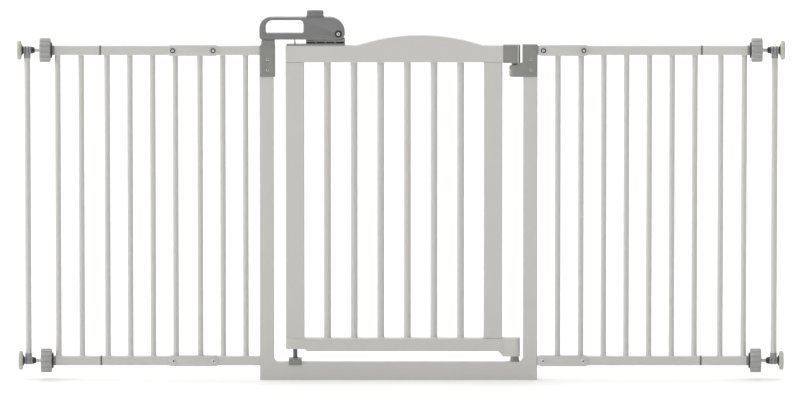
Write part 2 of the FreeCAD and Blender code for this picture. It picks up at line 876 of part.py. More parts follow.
def latch_saddle():
    """Striker on the threshold that the latch pin drops into."""
    half = post_depth / 2
    reach = half + saddle_side
    x0 = rod_x - saddle_length / 2
    x1 = rod_x + saddle_length / 2
    low = threshold_height - saddle_lip
    pocket = saddle_pocket / 2
    body = rounded_box(x0, x1, -reach, reach, low, threshold_height + saddle_height, saddle_corner, "z")
    body = body.cut(box(x0, x1, -half, half, low, threshold_height))
    floor = threshold_height + saddle_floor
    return body.cut(rounded_box(rod_x - pocket, rod_x + pocket, -pocket, pocket, floor,
                                floor + saddle_height, saddle_pocket_corner, "z"))


def lower_hinge_socket():
    """Tapered bearing on the threshold under the door."""
    top = threshold_height + socket_height
    body = cone(hinge_x, 0, threshold_height, top, socket_foot / 2, socket_top / 2)
    return body.cut(pillar(hinge_x, 0, threshold_height + pin_floor, top, lower_pin_diameter / 2))


def lower_hinge_pin():
    """Steel pin that the door turns on at the bottom."""
    low = threshold_height + pin_floor
    pin = pillar(hinge_x, 0, low, low + lower_pin_height, lower_pin_diameter / 2)
    return pin.makeChamfer(pin_chamfer, [edge for edge in pin.Edges
                                 if abs(edge.CenterOfMass.z - low - lower_pin_height) < touching])


# ---------------------------------------------------------------- door
def arched_wire(inset):
    """Outline of the door's top rail, moved inwards by inset."""
    half = (arch_right - arch_left) / 2
    centre_x = (arch_right + arch_left) / 2
    reach = (half ** 2 + arch_rise ** 2) / (2 * arch_rise)
    radius = reach - arch_blend
    centre = (centre_x, door_top + arch_rise - radius)
    lift = door_top + arch_blend
    turn = math.degrees(math.asin(half / reach))
    corner = top_rail_corner
    radius_here = max(corner - inset, least_radius)
    arcs = [arc((door_left + corner, door_rail_low + corner), radius_here, 270, 180),
            arc((door_left + corner, door_top - corner), radius_here, 180, 90),
            arc((arch_left, lift), arch_blend + inset, 270, 270 + turn),
            arc(centre, radius - inset, 90 + turn, 90 - turn),
            arc((arch_right, lift), arch_blend + inset, 270 - turn, 270),
            arc((door_right - corner, door_top - corner), radius_here, 90, 0),
            arc((door_right - corner, door_rail_low + corner), radius_here, 0, -90)]
    return closed_outline(arcs)


def door_top_rail():
    """Arched top tube of the door, open at the hinge end."""
    outer = thickened(arched_wire(0), -half_door, half_door)
    faces = [edge for edge in outer.Edges
             if edge.BoundBox.YLength < touching and abs(abs(edge.CenterOfMass.y) - half_door) < touching]
    outer = outer.makeFillet(top_rail_round, faces)
    inner = thickened(arched_wire(door_wall), door_wall - half_door, half_door - door_wall)
    mouth = box(door_right - rail_mouth, door_right, door_wall - half_door, half_door - door_wall,
                door_rail_low + door_wall, door_top - door_wall)
    rail = outer.cut(inner).cut(mouth)
    rail = rail.cut(pillar(rod_x, 0, door_rail_low, door_top, rod_wire / 2 + rod_play))
    for x in base_screw_places():
        rail = rail.cut(pillar(x, 0, door_top - door_wall, door_top, base_screw_shank / 2))
    return rail


def door_stile(x0):
    """Side tube of the door; a recessed neck at each end leaves a shadow line."""
    low = door_rail_top
    high = door_rail_low
    x1 = x0 + stile_width
    body = tube_along_z(x0, x1, half_door, low + reveal, high - reveal, door_wall, doocorner)
    necks = [tube_along_z(x0 + door_wall, x1 - door_wall, half_door - door_wall, z0, z1, door_wall,
                          doocorner - door_wall)
             for z0, z1 in ((low, low + neck_depth), (high - neck_depth, high))]
    return body.fuse(necks).removeSplitter()


def foot_bevel():
    """Cutter for the bevel under the bottom rail's latch end."""
    x0 = door_left + stile_width
    outline = [(x0, bottom_rail_low), (x0 + foot_ramp, bottom_rail_low), (x0, foot_low)]
    return plate_outline(outline, -half_door, half_door)


def door_bottom_rail():
    """Bottom tube of the door."""
    rail = tube_along_x(door_left + stile_width, door_right, half_door, bottom_rail_low, door_rail_top,
                        door_wall, doocorner)
    return rail.cut(foot_bevel())


def door_bars():
    """Upright bars of the door, with equal gaps between the stiles."""
    left = door_left + stile_width
    right = right_stile_end - stile_width
    pitch = (right - left + door_bar_diameter) / (door_bar_count + 1)
    places = [left - door_bar_diameter / 2 + pitch * (k + 1) for k in range(door_bar_count)]
    return [hollow_bar(x, door_rail_top, door_rail_low, door_bar_diameter, bar_wall) for x in places]


def bottom_rail_tenon(x0, x1):
    """Tongue that slips into an end of the door's bottom rail."""
    wall = door_wall + slip / 2
    return rounded_box(x0, x1, wall - half_door, half_door - wall, bottom_rail_low + wall,
                       door_rail_top - wall, doocorner - door_wall, "x")


def latch_foot():
    """White guide block under the latch stile, bored for the latch pin."""
    x1 = door_left + stile_width
    outline = [(door_left, foot_low), (x1, foot_low), (x1, door_rail_top), (door_left, door_rail_top)]
    body = plate_outline(outline, -half_door, half_door)
    edges = [edge for edge in body.Edges if edge.BoundBox.ZLength > overlap and edge.CenterOfMass.x < rod_x]
    body = body.makeFillet(doocorner, edges)
    tenon_wall = 2 * door_wall + slip
    tenon_top = door_rail_top + neck_depth + foot_tenon_rise
    tenon = box(door_left + tenon_wall, x1 - tenon_wall, tenon_wall - half_door, half_door - tenon_wall,
                door_rail_top, tenon_top)
    side_tenon = bottom_rail_tenon(x1, x1 + tenon_reach)
    body = body.fuse([tenon, side_tenon.cut(foot_bevel())])
    bore = pillar(rod_x, 0, bottom_rail_low, tenon_top, latch_pin_diameter / 2 + running)
    return body.cut(bore).removeSplitter()


def hinge_block(x0, low, high):
    """Block with a round knuckle about the hinge axis."""
    return box(x0, hinge_x, -knuckle_radius, knuckle_radius, low, high).fuse(
        pillar(hinge_x, 0, low, high, knuckle_radius)).removeSplitter()


def upper_hinge_block():
    """Grey upper hinge block, with a tenon in the top rail and a collar for the ledge."""
    low = upper_block_low()
    high = door_top + hinge_block_rise
    block = hinge_block(door_right, low, high)
    top_edges = [edge for edge in block.Edges
                 if edge.BoundBox.ZLength < touching and abs(edge.CenterOfMass.z - high) < touching
                 and edge.CenterOfMass.x > door_right + overlap]
    block = block.makeFillet(hinge_block_round, top_edges)
    wall = door_wall + slip / 2
    reach = half_door - wall - tenon_play
    tenon = box(door_right - tenon_reach, door_right, -reach, reach, door_rail_low + wall, door_top - wall)
    collar = pillar(hinge_x, 0, ledge_seat() + turning_gap, low, hinge_collar_diameter / 2)
    bore = pillar(hinge_x, 0, ledge_seat(), low + upper_pin_grip, hinge_pin_diameter / 2)
    return block.fuse([tenon, collar]).cut(bore).removeSplitter()


def upper_hinge_pin():
    """Steel pin from the upper block down through the ledge."""
    low = post_top - bracket_height + upper_pin_low
    return pillar(hinge_x, 0, low, upper_block_low() + upper_pin_grip, hinge_pin_diameter / 2)


def lower_hinge_block():
    """White lower hinge block, stepped down under the bottom rail."""
    low = threshold_height + socket_height + turning_gap
    step = bottom_rail_low - low
    outline = [(door_right - step * lower_block_slope, bottom_rail_low), (door_right, low), (hinge_x, low),
               (hinge_x, door_rail_top), (door_right, door_rail_top), (door_right, bottom_rail_low)]
    body = plate_outline(outline, -knuckle_radius, knuckle_radius)
    body = body.fuse(pillar(hinge_x, 0, low, door_rail_top, knuckle_radius))
    tenon = bottom_rail_tenon(door_right - tenon_reach, door_right)
    bore = pillar(hinge_x, 0, low, threshold_height + pin_floor + lower_pin_height + pin_headroom,
                  lower_pin_diameter / 2 + running)
    return body.fuse(tenon).cut(bore).removeSplitter()


# ---------------------------------------------------------------- handle and its base
def base_windows():
    """Spans of the open windows in the base, between its ribs."""
    left = pocket_left + base_rib
    right = base_right - base_rib
    length = (right - left - (base_window_count - 1) * base_rib) / base_window_count
    starts = [left + k * (length + base_rib) for k in range(base_window_count)]
    return [(start, start + length) for start in starts]


def base_screw_places():
    """Screws that hold the base on the door."""
    windows = base_windows()
    middles = [sum(window) / 2 for window in (windows[0], windows[-1])]
    return [base_left + base_screw_inset, rod_x + base_screw_beside_rod] + middles


def base_screw(x):
    """Countersunk screw."""
    top = door_top + base_plate
    shank = base_screw_shank / 2
    head = base_screw_head / 2
    neck = top - (head - shank)
    return cone(x, 0, neck, top, shank, head).fuse(pillar(x, 0, top - base_screw_length, neck, shank))


def handle_base():
    """Dark base under the handle, with the pivot ears and an end stop."""
    half = base_depth / 2
    top = door_top + base_plate
    body_top = door_top + base_body_height
    plate = rounded_box(base_left, base_right, -half, half, door_top, top, base_corner, "z")
    ledge = box(pocket_left, base_right, -half, half, top, top + base_ledge)
    ledge = ledge.makeChamfer(base_ledge - base_ledge_land, [
        edge for edge in ledge.Edges
        if edge.BoundBox.XLength > overlap and edge.CenterOfMass.z > top + base_ledge_land])
    side = half - base_ledge
    body = ledge.fuse(box(pocket_left, base_right, -side, side, top, body_top))
    for x0, x1 in base_windows():
        for y0, y1 in ((-side, -side + base_window_depth), (side - base_window_depth, side)):
            body = body.cut(box(x0, x1, y0, y1, top + base_ledge, body_top - base_roof))
    inner = pocket_depth / 2 - ear_play
    ears = []
    for y0, y1 in ((-inner, -inner + ear_thickness), (inner - ear_thickness, inner)):
        ears.append(box(pivot_x - ear_radius, pivot_x + ear_radius, y0, y1, body_top - overlap, pivot_z))
        ears.append(crossbar(pivot_x, pivot_z, y0, y1, ear_radius))
    stop = box(pivot_x + stop_start, base_right, -half, half, body_top - overlap, body_top + stop_height)
    stop = stop.cut(crossbar(pivot_x, pivot_z, -half, half, pivot_boss + pivot_stop_gap))
    base = plate.fuse([body, stop] + ears)
    base = base.cut(crossbar(pivot_x, pivot_z, -half, half, pivot_pin_diameter / 2 + running))
    base = base.cut(pillar(rod_x, 0, door_top, body_top, rod_wire / 2 + rod_play))
    access = base_screw_head / 2 + slip
    for x in base_screw_places():
        base = base.cut(base_screw(x)).cut(pillar(x, 0, top, body_top, access))
    return base.removeSplitter()


def handle_outline():
    """Side outline of the lift handle."""
    heel_x = handle_right - handle_heel
    boss = pivot_z - handle_low
    arcs = [arc((handle_right - boss, pivot_z), boss, -90, 0),
            arc((heel_x, handle_top - handle_heel), handle_heel, 0, 90),
            arc((handle_left + handle_nose, handle_top - handle_nose), handle_nose, 90, 180),
            arc((handle_left + handle_toe, handle_low + handle_toe), handle_toe, 180, 270)]
    return closed_outline(arcs)


def finger_hole_outline():
    """Outline of the finger hole."""
    low = handle_low + hole_low
    high = low + hole_height
    small = hole_corner_low
    right = hole_corner_right
    left = hole_corner_left
    arcs = [arc((hole_right - small, low + small), small, -90, 0),
            arc((hole_right - right, high - right), right, 0, 90),
            arc((hole_left + left, high - left), left, 90, 180),
            arc((hole_left + small, low + small), small, 180, 270)]
    return closed_outline(arcs)


def button_span():
    """Left and right ends of the release button."""
    left = pocket_left + button_inset
    return left, left + button_length


def flat_edges(shape, half):
    """Edges that lie in the front and back faces at plus and minus half."""
    return [edge for edge in shape.Edges
            if edge.BoundBox.YLength < touching and abs(abs(edge.CenterOfMass.y) - half) < touching]


def softened(shape, half):
    """Shape with its front and back outlines rounded."""
    return shape.makeFillet(handle_round, flat_edges(shape, half))


def handle_shell():
    """Moulded lift handle: finger hole, hollow for the base's ears and well for the button."""
    half = handle_depth / 2
    inner = pocket_depth / 2
    shell = softened(thickened(handle_outline(), -half, half), half)
    hole = thickened(finger_hole_outline(), -half, half)
    shell = shell.cut(hole)
    rims = [edge for edge in flat_edges(shell, half) if hole.BoundBox.isInside(edge.CenterOfMass)]
    shell = shell.makeFillet(handle_round, rims)
    shelf = handle_low + shelf_low
    roof = handle_top - roof_thickness
    left, right = button_span()
    button_half = button_depth / 2 + button_gap
    eye_half = eye_thickness / 2 + button_gap
    cutters = [box(pocket_left, pivot_x + pocket_end, -inner, inner, handle_low - overlap, shelf),
               box(pocket_left, right + well_margin, -inner, inner, shelf + shelf_thickness, roof),
               box(left - button_gap, right + button_gap, -button_half, button_half, roof, handle_top),
               box(rod_x - eye_slot / 2, rod_x + eye_slot / 2, -eye_half, eye_half,
                   handle_low, handle_low + hole_low - eye_slot_roof),
               tongue_box(),
               crossbar(pivot_x, pivot_z, -half, half, pivot_pin_diameter / 2),
               crossbar(rod_x, link_z, -half, half, link_pin_diameter / 2)]
    for cutter in cutters:
        shell = shell.cut(cutter)
    return shell


def tongue_box():
    """Space that the tongue fills, from its tip to its root in the handle."""
    x0 = handle_left + tongue_inset
    half = tongue_thickness / 2
    return box(x0, x0 + tongue_length, -half, half, handle_low - tongue_reach, handle_low + tongue_root)


def latch_tongue():
    """Steel tongue under the handle's nose."""
    tongue = tongue_box()
    low = handle_low - tongue_reach
    tip = [edge for edge in tongue.Edges
           if abs(edge.CenterOfMass.z - low) < touching and edge.BoundBox.YLength < touching]
    return tongue.makeChamfer(tongue_chamfer, tip)


def handle_pins():
    """Pivot pin and link pin of the handle."""
    half = handle_depth / 2
    proud = washer_thickness + pivot_pin_proud
    pivot = crossbar(pivot_x, pivot_z, -half - proud, half + proud, pivot_pin_diameter / 2)
    link = crossbar(rod_x, link_z, link_pin_inset - half, half - link_pin_inset, link_pin_diameter / 2)
    return [pivot, link]


def pivot_washers():
    """Dark ring round each end of the pivot pin."""
    half = handle_depth / 2
    rings = []
    for y0, y1 in ((-half - washer_thickness, -half), (half, half + washer_thickness)):
        rings.append(crossbar(pivot_x, pivot_z, y0, y1, washer_diameter / 2).cut(
            crossbar(pivot_x, pivot_z, y0, y1, pivot_pin_diameter / 2)))
    return rings


def release_button():
    """Release button, kept in by its flange, with a spigot for the spring."""
    left, right = button_span()
    half = button_depth / 2
    roof = handle_top - roof_thickness
    head = box(left, right, -half, half, roof - overlap, handle_top + button_height)
    soft_edges = [edge for edge in head.Edges
                  if edge.BoundBox.ZLength > overlap or edge.CenterOfMass.z > handle_top + overlap]
    head = head.makeFillet(button_round, soft_edges)
    reach = flange_lip + flange_reach
    side = half + flange_lip
    flange_top = roof - flange_gap
    flange_low = flange_top - flange_thickness
    flange = box(left - reach, right + reach, -side, side, flange_low, flange_top)
    spigot = pillar((left + right) / 2, 0, flange_low - spigot_length, flange_top, spigot_radius)
    return head.fuse([flange, spigot]).removeSplitter()


def coil(x, z0, z1, radius, turns):
    """Compression spring along Z, with half a wire of room at each end."""
    pitch = (z1 - z0 - spring_wire) / turns
    helix = Part.makeHelix(pitch, pitch * turns, radius)
    direction = Vector(0, 1, pitch / (2 * math.pi * radius))
    profile = Part.Wire(Part.makeCircle(spring_wire / 2, Vector(radius, 0, 0), direction))
    spring = Part.Wire(helix).makePipeShell([profile], True, True)
    spring.translate(Vector(x, 0, z0 + spring_wire / 2))
    return oriented(spring)


def button_spring():
    """Spring between the handle's shelf and the button."""
    left, right = button_span()
    low = handle_low + shelf_low + shelf_thickness
    high = handle_top - roof_thickness - flange_gap - flange_thickness
    return coil((left + right) / 2, low, high, button_spring_radius, button_spring_turns)


# ---------------------------------------------------------------- latch rod in the door's stile
def pull_rod():
    """Rod from the handle's link pin down to the latch pin."""
    eye_low = link_z - eye_below
    eye = box(rod_x - eye_width / 2, rod_x + eye_width / 2, -eye_thickness / 2, eye_thickness / 2,
              eye_low, link_z + eye_above)
    eye = eye.makeFillet(eye_corner, [edge for edge in eye.Edges if edge.BoundBox.YLength > overlap])
    eye = eye.cut(crossbar(rod_x, link_z, -half_door, half_door, link_pin_diameter / 2 + eye_play))
    rod = pillar(rod_x, 0, latch_pin_top - rod_grip, eye_low + overlap, rod_wire / 2)
    return eye.fuse(rod).removeSplitter()


def latch_pin():
    """Bottom latch pin with a thicker tip."""
    radius = latch_pin_diameter / 2
    tip = latch_tip_diameter / 2
    low = latch_tip_low
    chamfer = low + latch_tip_chamfer
    barrel = low + latch_tip_barrel
    body = pillar(rod_x, 0, low, latch_pin_top, radius)
    body = body.fuse([cone(rod_x, 0, low, chamfer, tip - latch_tip_chamfer, tip),
                      pillar(rod_x, 0, chamfer, barrel, tip),
                      cone(rod_x, 0, barrel, low + latch_tip_shoulder, tip, radius)])
    return body.cut(pillar(rod_x, 0, latch_pin_top - rod_grip, latch_pin_top, rod_wire / 2)).removeSplitter()


def spring_seat():
    """Plug in the stile that the latch spring pushes against."""
    wall = door_wall + slip / 2
    seat = box(door_left + wall, door_left + stile_width - wall, wall - half_door, half_door - wall,
               spring_seat_height, spring_seat_height + spring_seat_thickness)
    uprights = [edge for edge in seat.Edges if edge.BoundBox.ZLength > overlap]
    seat = seat.makeFillet(spring_seat_corner, uprights)
    return seat.cut(pillar(rod_x, 0, spring_seat_height, spring_seat_height + spring_seat_thickness,
                           rod_wire / 2 + spring_seat_play))


def latch_spring():
    """Spring that pushes the latch pin down."""
    return coil(rod_x, latch_pin_top, spring_seat_height, latch_spring_radius, latch_spring_turns)


# ---------------------------------------------------------------- every node
save("left_post", [recessed_for_screws(post(post_left_out), left_bracket_screw_x)])
save("right_post", [recessed_for_screws(post(post_right_in), right_bracket_screw_x)])
save("threshold_bar", [threshold_bar()])
save("main_rails", main_rails())
save("main_bars", side_bars(main_bar_places()))
for side, name in ((-1, "left"), (1, "right")):
    save(f"{name}_extension_rails", extension_rails(side))
    save(f"{name}_extension_bars", side_bars(extension_bar_places(side)))
save("end_rails", end_rails())
save("end_bars", side_bars(end_bar_places()))
save("rail_joiners", rail_joiners())
save("joint_plates", joint_plates())
save("joint_screws", joint_screws())
save("rail_end_plugs", rail_end_plugs())
save("latch_catch_bracket", [latch_catch_bracket()])
save("hinge_bracket", [hinge_bracket()])
save("bracket_screws", bracket_screws())
save("latch_saddle", [latch_saddle()])
save("lower_hinge_socket", [lower_hinge_socket()])
save("lower_hinge_pin", [lower_hinge_pin()])

for side, name in ((-1, "left"), (1, "right")):
    for level, z in zip(("bottom", "top"), rail_centres):
        save(f"{name}_{level}_wheel", [tension_wheel(side, z)])
        save(f"{name}_{level}_nut", [wheel_nut(side, z)])
    save(f"{name}_adjuster_bolts", [adjuster_bolt(side, z) for z in rail_centres])
    save(f"{name}_pad_stems", [pad_stem(side, z) for z in rail_centres])
    save(f"{name}_rod_clips", [rod_clip(side, z) for z in rail_centres])
    save(f"{name}_gap_rod", [gap_rod(side)])
    save(f"{name}_wall_pads", [wall_pad(side, z) for z in rail_centres])

save("door_top_rail", [door_top_rail()])
save("door_left_stile", [door_stile(door_left)])
save("door_right_stile", [door_stile(right_stile_end - stile_width)])
save("door_bottom_rail", [door_bottom_rail()])
save("door_bars", door_bars())
save("latch_foot", [latch_foot()])
save("upper_hinge_block", [upper_hinge_block()])
save("upper_hinge_pin", [upper_hinge_pin()])
save("lower_hinge_block", [lower_hinge_block()])
save("handle_base", [handle_base()])
save("handle_base_screws", [base_screw(x) for x in base_screw_places()])
save("spring_seat", [spring_seat()])

save("handle_shell", [handle_shell()])
save("latch_tongue", [latch_tongue()])
save("handle_pins", handle_pins())
save("pivot_washers", pivot_washers())
save("release_button", [release_button()])
save("button_spring", [button_spring()])
save("pull_rod", [pull_rod()])
save("latch_pin", [latch_pin()])
save("latch_spring", [latch_spring()])
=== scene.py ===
"""Looks of a pressure-mounted walk-through safety gate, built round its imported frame.

Run as a script, it registers its operators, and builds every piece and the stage.
Everything is in metres, in the gate's own frame: +Z up, the front towards -Y, the hinge side towards +X.
"""
import json
import math

import bmesh
import bpy
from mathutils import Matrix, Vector

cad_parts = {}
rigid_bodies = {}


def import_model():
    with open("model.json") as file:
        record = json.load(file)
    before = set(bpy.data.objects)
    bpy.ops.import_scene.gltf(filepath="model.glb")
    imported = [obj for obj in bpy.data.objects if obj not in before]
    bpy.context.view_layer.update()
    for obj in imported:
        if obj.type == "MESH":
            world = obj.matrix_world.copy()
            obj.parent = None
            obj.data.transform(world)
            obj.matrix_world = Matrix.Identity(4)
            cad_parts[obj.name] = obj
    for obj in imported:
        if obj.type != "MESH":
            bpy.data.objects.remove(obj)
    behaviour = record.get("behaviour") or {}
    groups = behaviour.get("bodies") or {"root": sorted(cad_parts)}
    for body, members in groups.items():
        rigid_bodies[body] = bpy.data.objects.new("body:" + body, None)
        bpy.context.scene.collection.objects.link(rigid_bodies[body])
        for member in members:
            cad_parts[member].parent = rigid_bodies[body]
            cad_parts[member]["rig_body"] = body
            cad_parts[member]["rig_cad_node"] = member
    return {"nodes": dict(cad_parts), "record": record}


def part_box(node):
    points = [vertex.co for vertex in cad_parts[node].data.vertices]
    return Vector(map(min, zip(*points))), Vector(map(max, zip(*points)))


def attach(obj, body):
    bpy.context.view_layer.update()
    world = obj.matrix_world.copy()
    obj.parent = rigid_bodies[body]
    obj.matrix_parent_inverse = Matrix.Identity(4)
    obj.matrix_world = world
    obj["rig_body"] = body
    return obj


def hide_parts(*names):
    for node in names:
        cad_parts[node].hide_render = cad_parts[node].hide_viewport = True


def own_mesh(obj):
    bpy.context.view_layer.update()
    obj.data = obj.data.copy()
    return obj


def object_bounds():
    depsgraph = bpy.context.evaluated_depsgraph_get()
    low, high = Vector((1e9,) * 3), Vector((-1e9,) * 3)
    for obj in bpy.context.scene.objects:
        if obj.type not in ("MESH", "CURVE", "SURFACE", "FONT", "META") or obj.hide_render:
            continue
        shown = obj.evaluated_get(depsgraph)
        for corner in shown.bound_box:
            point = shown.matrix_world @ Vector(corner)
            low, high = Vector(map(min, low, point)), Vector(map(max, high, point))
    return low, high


bl_info = {
    "name": "Safety gate",
    "version": (1, 0, 0),
    "blender": (4, 5, 0),
    "location": "View3D > Sidebar > Safety gate",
    "description": "Builds the pieces, finishes and studio of a walk-through child safety gate",
    "category": "Object",
}

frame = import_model()
cad_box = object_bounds()

MM = 0.001
SIGNS = {"left": -1, "right": 1}
LEVELS = ("bottom", "top")
WHITE_TUBES = (
    "left_post", "right_post", "threshold_bar", "main_rails", "main_bars", "left_extension_rails",
    "left_extension_bars", "right_extension_rails", "right_extension_bars", "end_rails", "end_bars",
    "left_gap_rod", "right_gap_rod", "door_left_stile", "door_right_stile", "door_bottom_rail",
    "door_bars", "door_top_rail")

# ------------------------------------------------------------------ sizes of the finishing details
# Steps of turned profiles are (distance along the line, radius) pairs, in mm unless a line says otherwise.
MERGE_DISTANCE = 1e-6
FLAT_ANGLE = math.radians(0.4)
SOFT_ANGLE = 60

# Weld beads on the bars: steps in shares of the bead's height and width; ripples as share, count and turn.
BEAD_ROOT = 0.3 * MM
BEAD_STEPS = ((0.0, 1.0), (0.22, 0.72), (0.5, 0.38), (0.8, 0.12))
BEAD_RIPPLES = ((0.1, 13, 0.0), (0.06, 5, 1.2))

# Dressed welds between the posts and the threshold.
WELD_REACH = 2.6 * MM
WELD_DEPTH = 2.2 * MM
WELD_LIFT = 0.4 * MM
WELD_DROP = 3.0 * MM
WELD_PROUD = 0.04 * MM
WELD_OVERLAP = 0.3 * MM

# Tension wheels: the rim's steps are the depth under the face and the distance in from the rim.
WHEEL_HUB_STEPS = ((0.0, 4.1), (0.0, 10.0), (2.5, 11.5))
WHEEL_RIM_STEPS = ((2.5, 5.2), (0.6, 4.0), (0.0, 3.0), (0.0, 2.0), (0.5, 0.8), (1.6, 0.0))
SIDES_PER_FLUTE = 16
FLUTE_BAND = 3.4 * MM
FLUTE_FADE = 0.6
FLUTE_SHARPNESS = 2600.0

# Tension bolts: the thread starts at this share of the wheel's width, and the crest is a sloped ridge.
THREAD_IN_WHEEL = 0.25
RINGS_PER_TURN = 8
CREST_SLOPE = 2.4
CREST_ROOT = 0.15

# Pad stems from their inner end, round the clip, and at the foot in mm and shares of the foot's radius.
STEM_NOSE = ((0.0, 4.0), (0.0, 5.2), (0.8, 6.0))
STEM_CONE = ((-1.6, 7.2), (-0.1, 7.5), (0.0, 5.8))
STEM_SHOULDER = ((0.0, 5.8), (0.05, 7.0), (0.4, 7.4))
STEM_FOOT = ((-1.0, 0.93), (-0.5, 1.0), (0.0, 1.0))

# Wall pads: steps in shares of thickness and radius; grooves by radius, each with its own steps.
PAD_STEPS = ((0.0, 0.62), (0.05, 0.84), (0.16, 0.95), (0.34, 1.0), (0.68, 1.0), (0.86, 0.965), (0.97, 0.89),
             (1.0, 0.8))
PAD_GROOVES = (14.0, 11.0, 8.0)
GROOVE_STEPS = ((0.0, 0.7), (-0.8, 0.4), (-0.8, -0.4), (0.0, -0.7))

# Bands on the rod clips: steps from the band's middle and from the clip's surface.
BAND_SHIFT = 3.4 * MM
BAND_STEPS = ((-0.6, -1.0), (-0.6, 0.15), (-0.3, 0.3), (0.3, 0.3), (0.6, 0.15), (0.6, -1.0))

# Joint screws: steps and cross in shares of the head's height and radius.
PAN_STEPS = ((0.0, 0.9), (0.15, 1.0), (0.45, 0.97), (0.78, 0.78), (0.95, 0.5), (1.0, 0.3))
RING_STEPS = ((0.0, 0.6), (0.0, 1.0), (0.7, 1.0), (1.0, 0.9), (1.0, 0.6))
RECESS_SHARES = (0.56, 0.15)
RECESS_FLOOR_SHARES = (0.55, 0.14)
RECESS_FLOOR_DEPTH = 0.3 * MM
RECESS_TOP = 1.2
RECESS_BOTTOM = 0.4
RECESS_FLOOR_AT = 0.5
RING_HEIGHT = 0.98
RING_RADIUS = 1.04
SCREW_END = 2.5 * MM
SCREW_END_STEPS = ((1.0, 2.5), (1.5, 2.0))

# Bracket screws: dished heads and the black hexagons of painted socket shade, in mm of depth and shares of
# the head's radius.
DISH_PROUD = 0.8 * MM
DISH_EYE = 0.1 * MM
DISH_SHANK = 0.5
DISH_STEPS = ((1.9, 0.5), (1.9, 0.98), (1.1, 0.98), (0.4, 0.86), (0.1, 0.66))
SOCKET_PROUD = 0.04 * MM
SOCKET_STEPS = ((0.0, 0.5), (0.2, 0.52), (0.4, 0.52))

# Pale strips that paint highlights on the rounded upper hinge and its ledge: angles from the front in
# degrees, and gaps to the ends of their parts.
STRIP_PROUD = 0.3 * MM
STRIP_DEPTH = 0.8 * MM
KNUCKLE_ANGLES = (28, 50)
KNUCKLE_GAP = 0.8 * MM
LEDGE_ANGLES = (-57, -42)
LEDGE_RADIUS = 11.8 * MM
LEDGE_LOW = 3.2 * MM
LEDGE_HIGH = 16.5 * MM

# Rail end plugs, the painted shade in the windows of the handle's base, and the pivot and link pin of the
# handle.
THRUST_DISC = 3.5 * MM
WINDOWS = 4
WINDOW_END = 2.5 * MM
WINDOW_PITCH = 19.75 * MM
WINDOW_WIDTH = 17.25 * MM
WINDOW_LOW = 4.4 * MM
WINDOW_HIGH = 8.1 * MM
WINDOW_BACK = 3.7 * MM
WINDOW_SKIN = 0.15 * MM
PIVOT_PROUD = 0.05 * MM
PIVOT_SOCKET_STEPS = ((0.0, 1.5), (0.2, 1.6), (0.4, 1.6))
LINK_PIN_RADIUS = 1.5 * MM
LINK_CAP_PROUD = 0.1 * MM
LINK_CAP_STEPS = ((0.0, 1.3), (0.25, 1.6), (0.5, 1.6))

# Release button and the black collar round it, which paints the shadow at the button's base.
BUTTON_LIP = 0.7 * MM
BUTTON_TAPER = 0.6 * MM
BUTTON_DEPTH = 19.7 * MM
BUTTON_CROWN = 0.8 * MM
FLANGE_LIFT = 7.0 * MM
FLANGE_THICKNESS = 2.4 * MM
SPIGOT_STEPS = ((0.0, 2.0), (0.5, 2.5), (8.0, 2.5))
RIB_PITCH = 3.6 * MM
RIB_HALF_WIDTH = 0.7 * MM
RIB_HALF_LENGTH = 6.2 * MM
RIB_DEPTH = 2.0 * MM
COLLAR_INSET = 0.3 * MM
COLLAR_SUNK = 0.4 * MM
COLLAR_HEIGHT = 2.4 * MM
COLLAR_GAP_X = 0.1 * MM
COLLAR_GAP_Y = -0.5 * MM

# Moulded and steel parts that keep their shape: name of the piece, eased edge in mm, steps of its rounding.
FITTINGS = {
    "rail_joiners": ("rail_joiner_sleeves", 0.3, 2),
    "latch_saddle": ("latch_striker", 0.5, 3),
    "lower_hinge_socket": ("lower_hinge_bearing", 0.4, 2),
    "lower_hinge_pin": ("lower_hinge_steel", 0.3, 2),
    "latch_foot": ("latch_guide_foot", 0.5, 3),
    "lower_hinge_block": ("lower_hinge_knuckle", 0.6, 3),
    "upper_hinge_pin": ("upper_hinge_steel", 0.3, 2),
    "spring_seat": ("latch_spring_seat", 0.3, 2),
    "handle_base_screws": ("handle_base_screw_set", 0.2, 2),
    "latch_tongue": ("latch_tongue_steel", 0.3, 2),
    "handle_pins": ("handle_pin_set", 0.4, 3),
    "pull_rod": ("pull_rod_eye", 0.25, 2),
    "latch_pin": ("latch_pin_moulded", 0.4, 3),
}

# Patterns of single finishes: sizes in mm, shares of a tint and the gain of the worn edges, which also carry
# a painted highlight.
STREAK_LENGTH = 5.4
STREAK_STRETCH = 6.0
STREAK_SHARE = 0.25
CLOUD_SIZE = 9
CLOUD_SHARE = 0.6
EDGE_WEAR_AND_HIGHLIGHT_GAIN = 1.35

# Studio: brightness of the tent at the horizon and of its overhead, left and back lobes, and their powers.
HORIZON_LEVEL = 0.22
BACKDROP_LEVEL = 1.1
OVERHEAD_POWER, OVERHEAD_GAIN = 2.5, 1.5
LEFT_POWER, LEFT_GAIN = 3.0, 3.0
BACK_POWER, BACK_GAIN = 2.0, 1.2
FLOOR_SIZE = 60.0
CAMERA_DISTANCE = 20.0
CAMERA_ELEVATION = math.radians(7.0)
CAMERA_FILL = 0.9485
SENSOR_WIDTH = 36.0
CLIP_END = 100.0
AIM_RIGHT = 0.0062
AIM_DOWN = 0.0136


def body_of(node):
    """Name of the CAD body that a node belongs to."""
    for body, nodes in frame["record"]["behaviour"]["bodies"].items():
        if node in nodes:
            return body
    raise ValueError(f"no body holds {node}")


def slot_of(node):
    """Material slot that the record gives a node."""
    return next(part["material_slot"] for part in frame["record"]["subparts"] if part["node"] == node)


def linear(code):
    """Linear RGBA of an sRGB hex colour such as #8090A0."""
    channels = [int(code[place:place + 2], 16) / 255 for place in (1, 3, 5)]
    return [c / 12.92 if c <= 0.04045 else ((c + 0.055) / 1.055) ** 2.4 for c in channels] + [1.0]


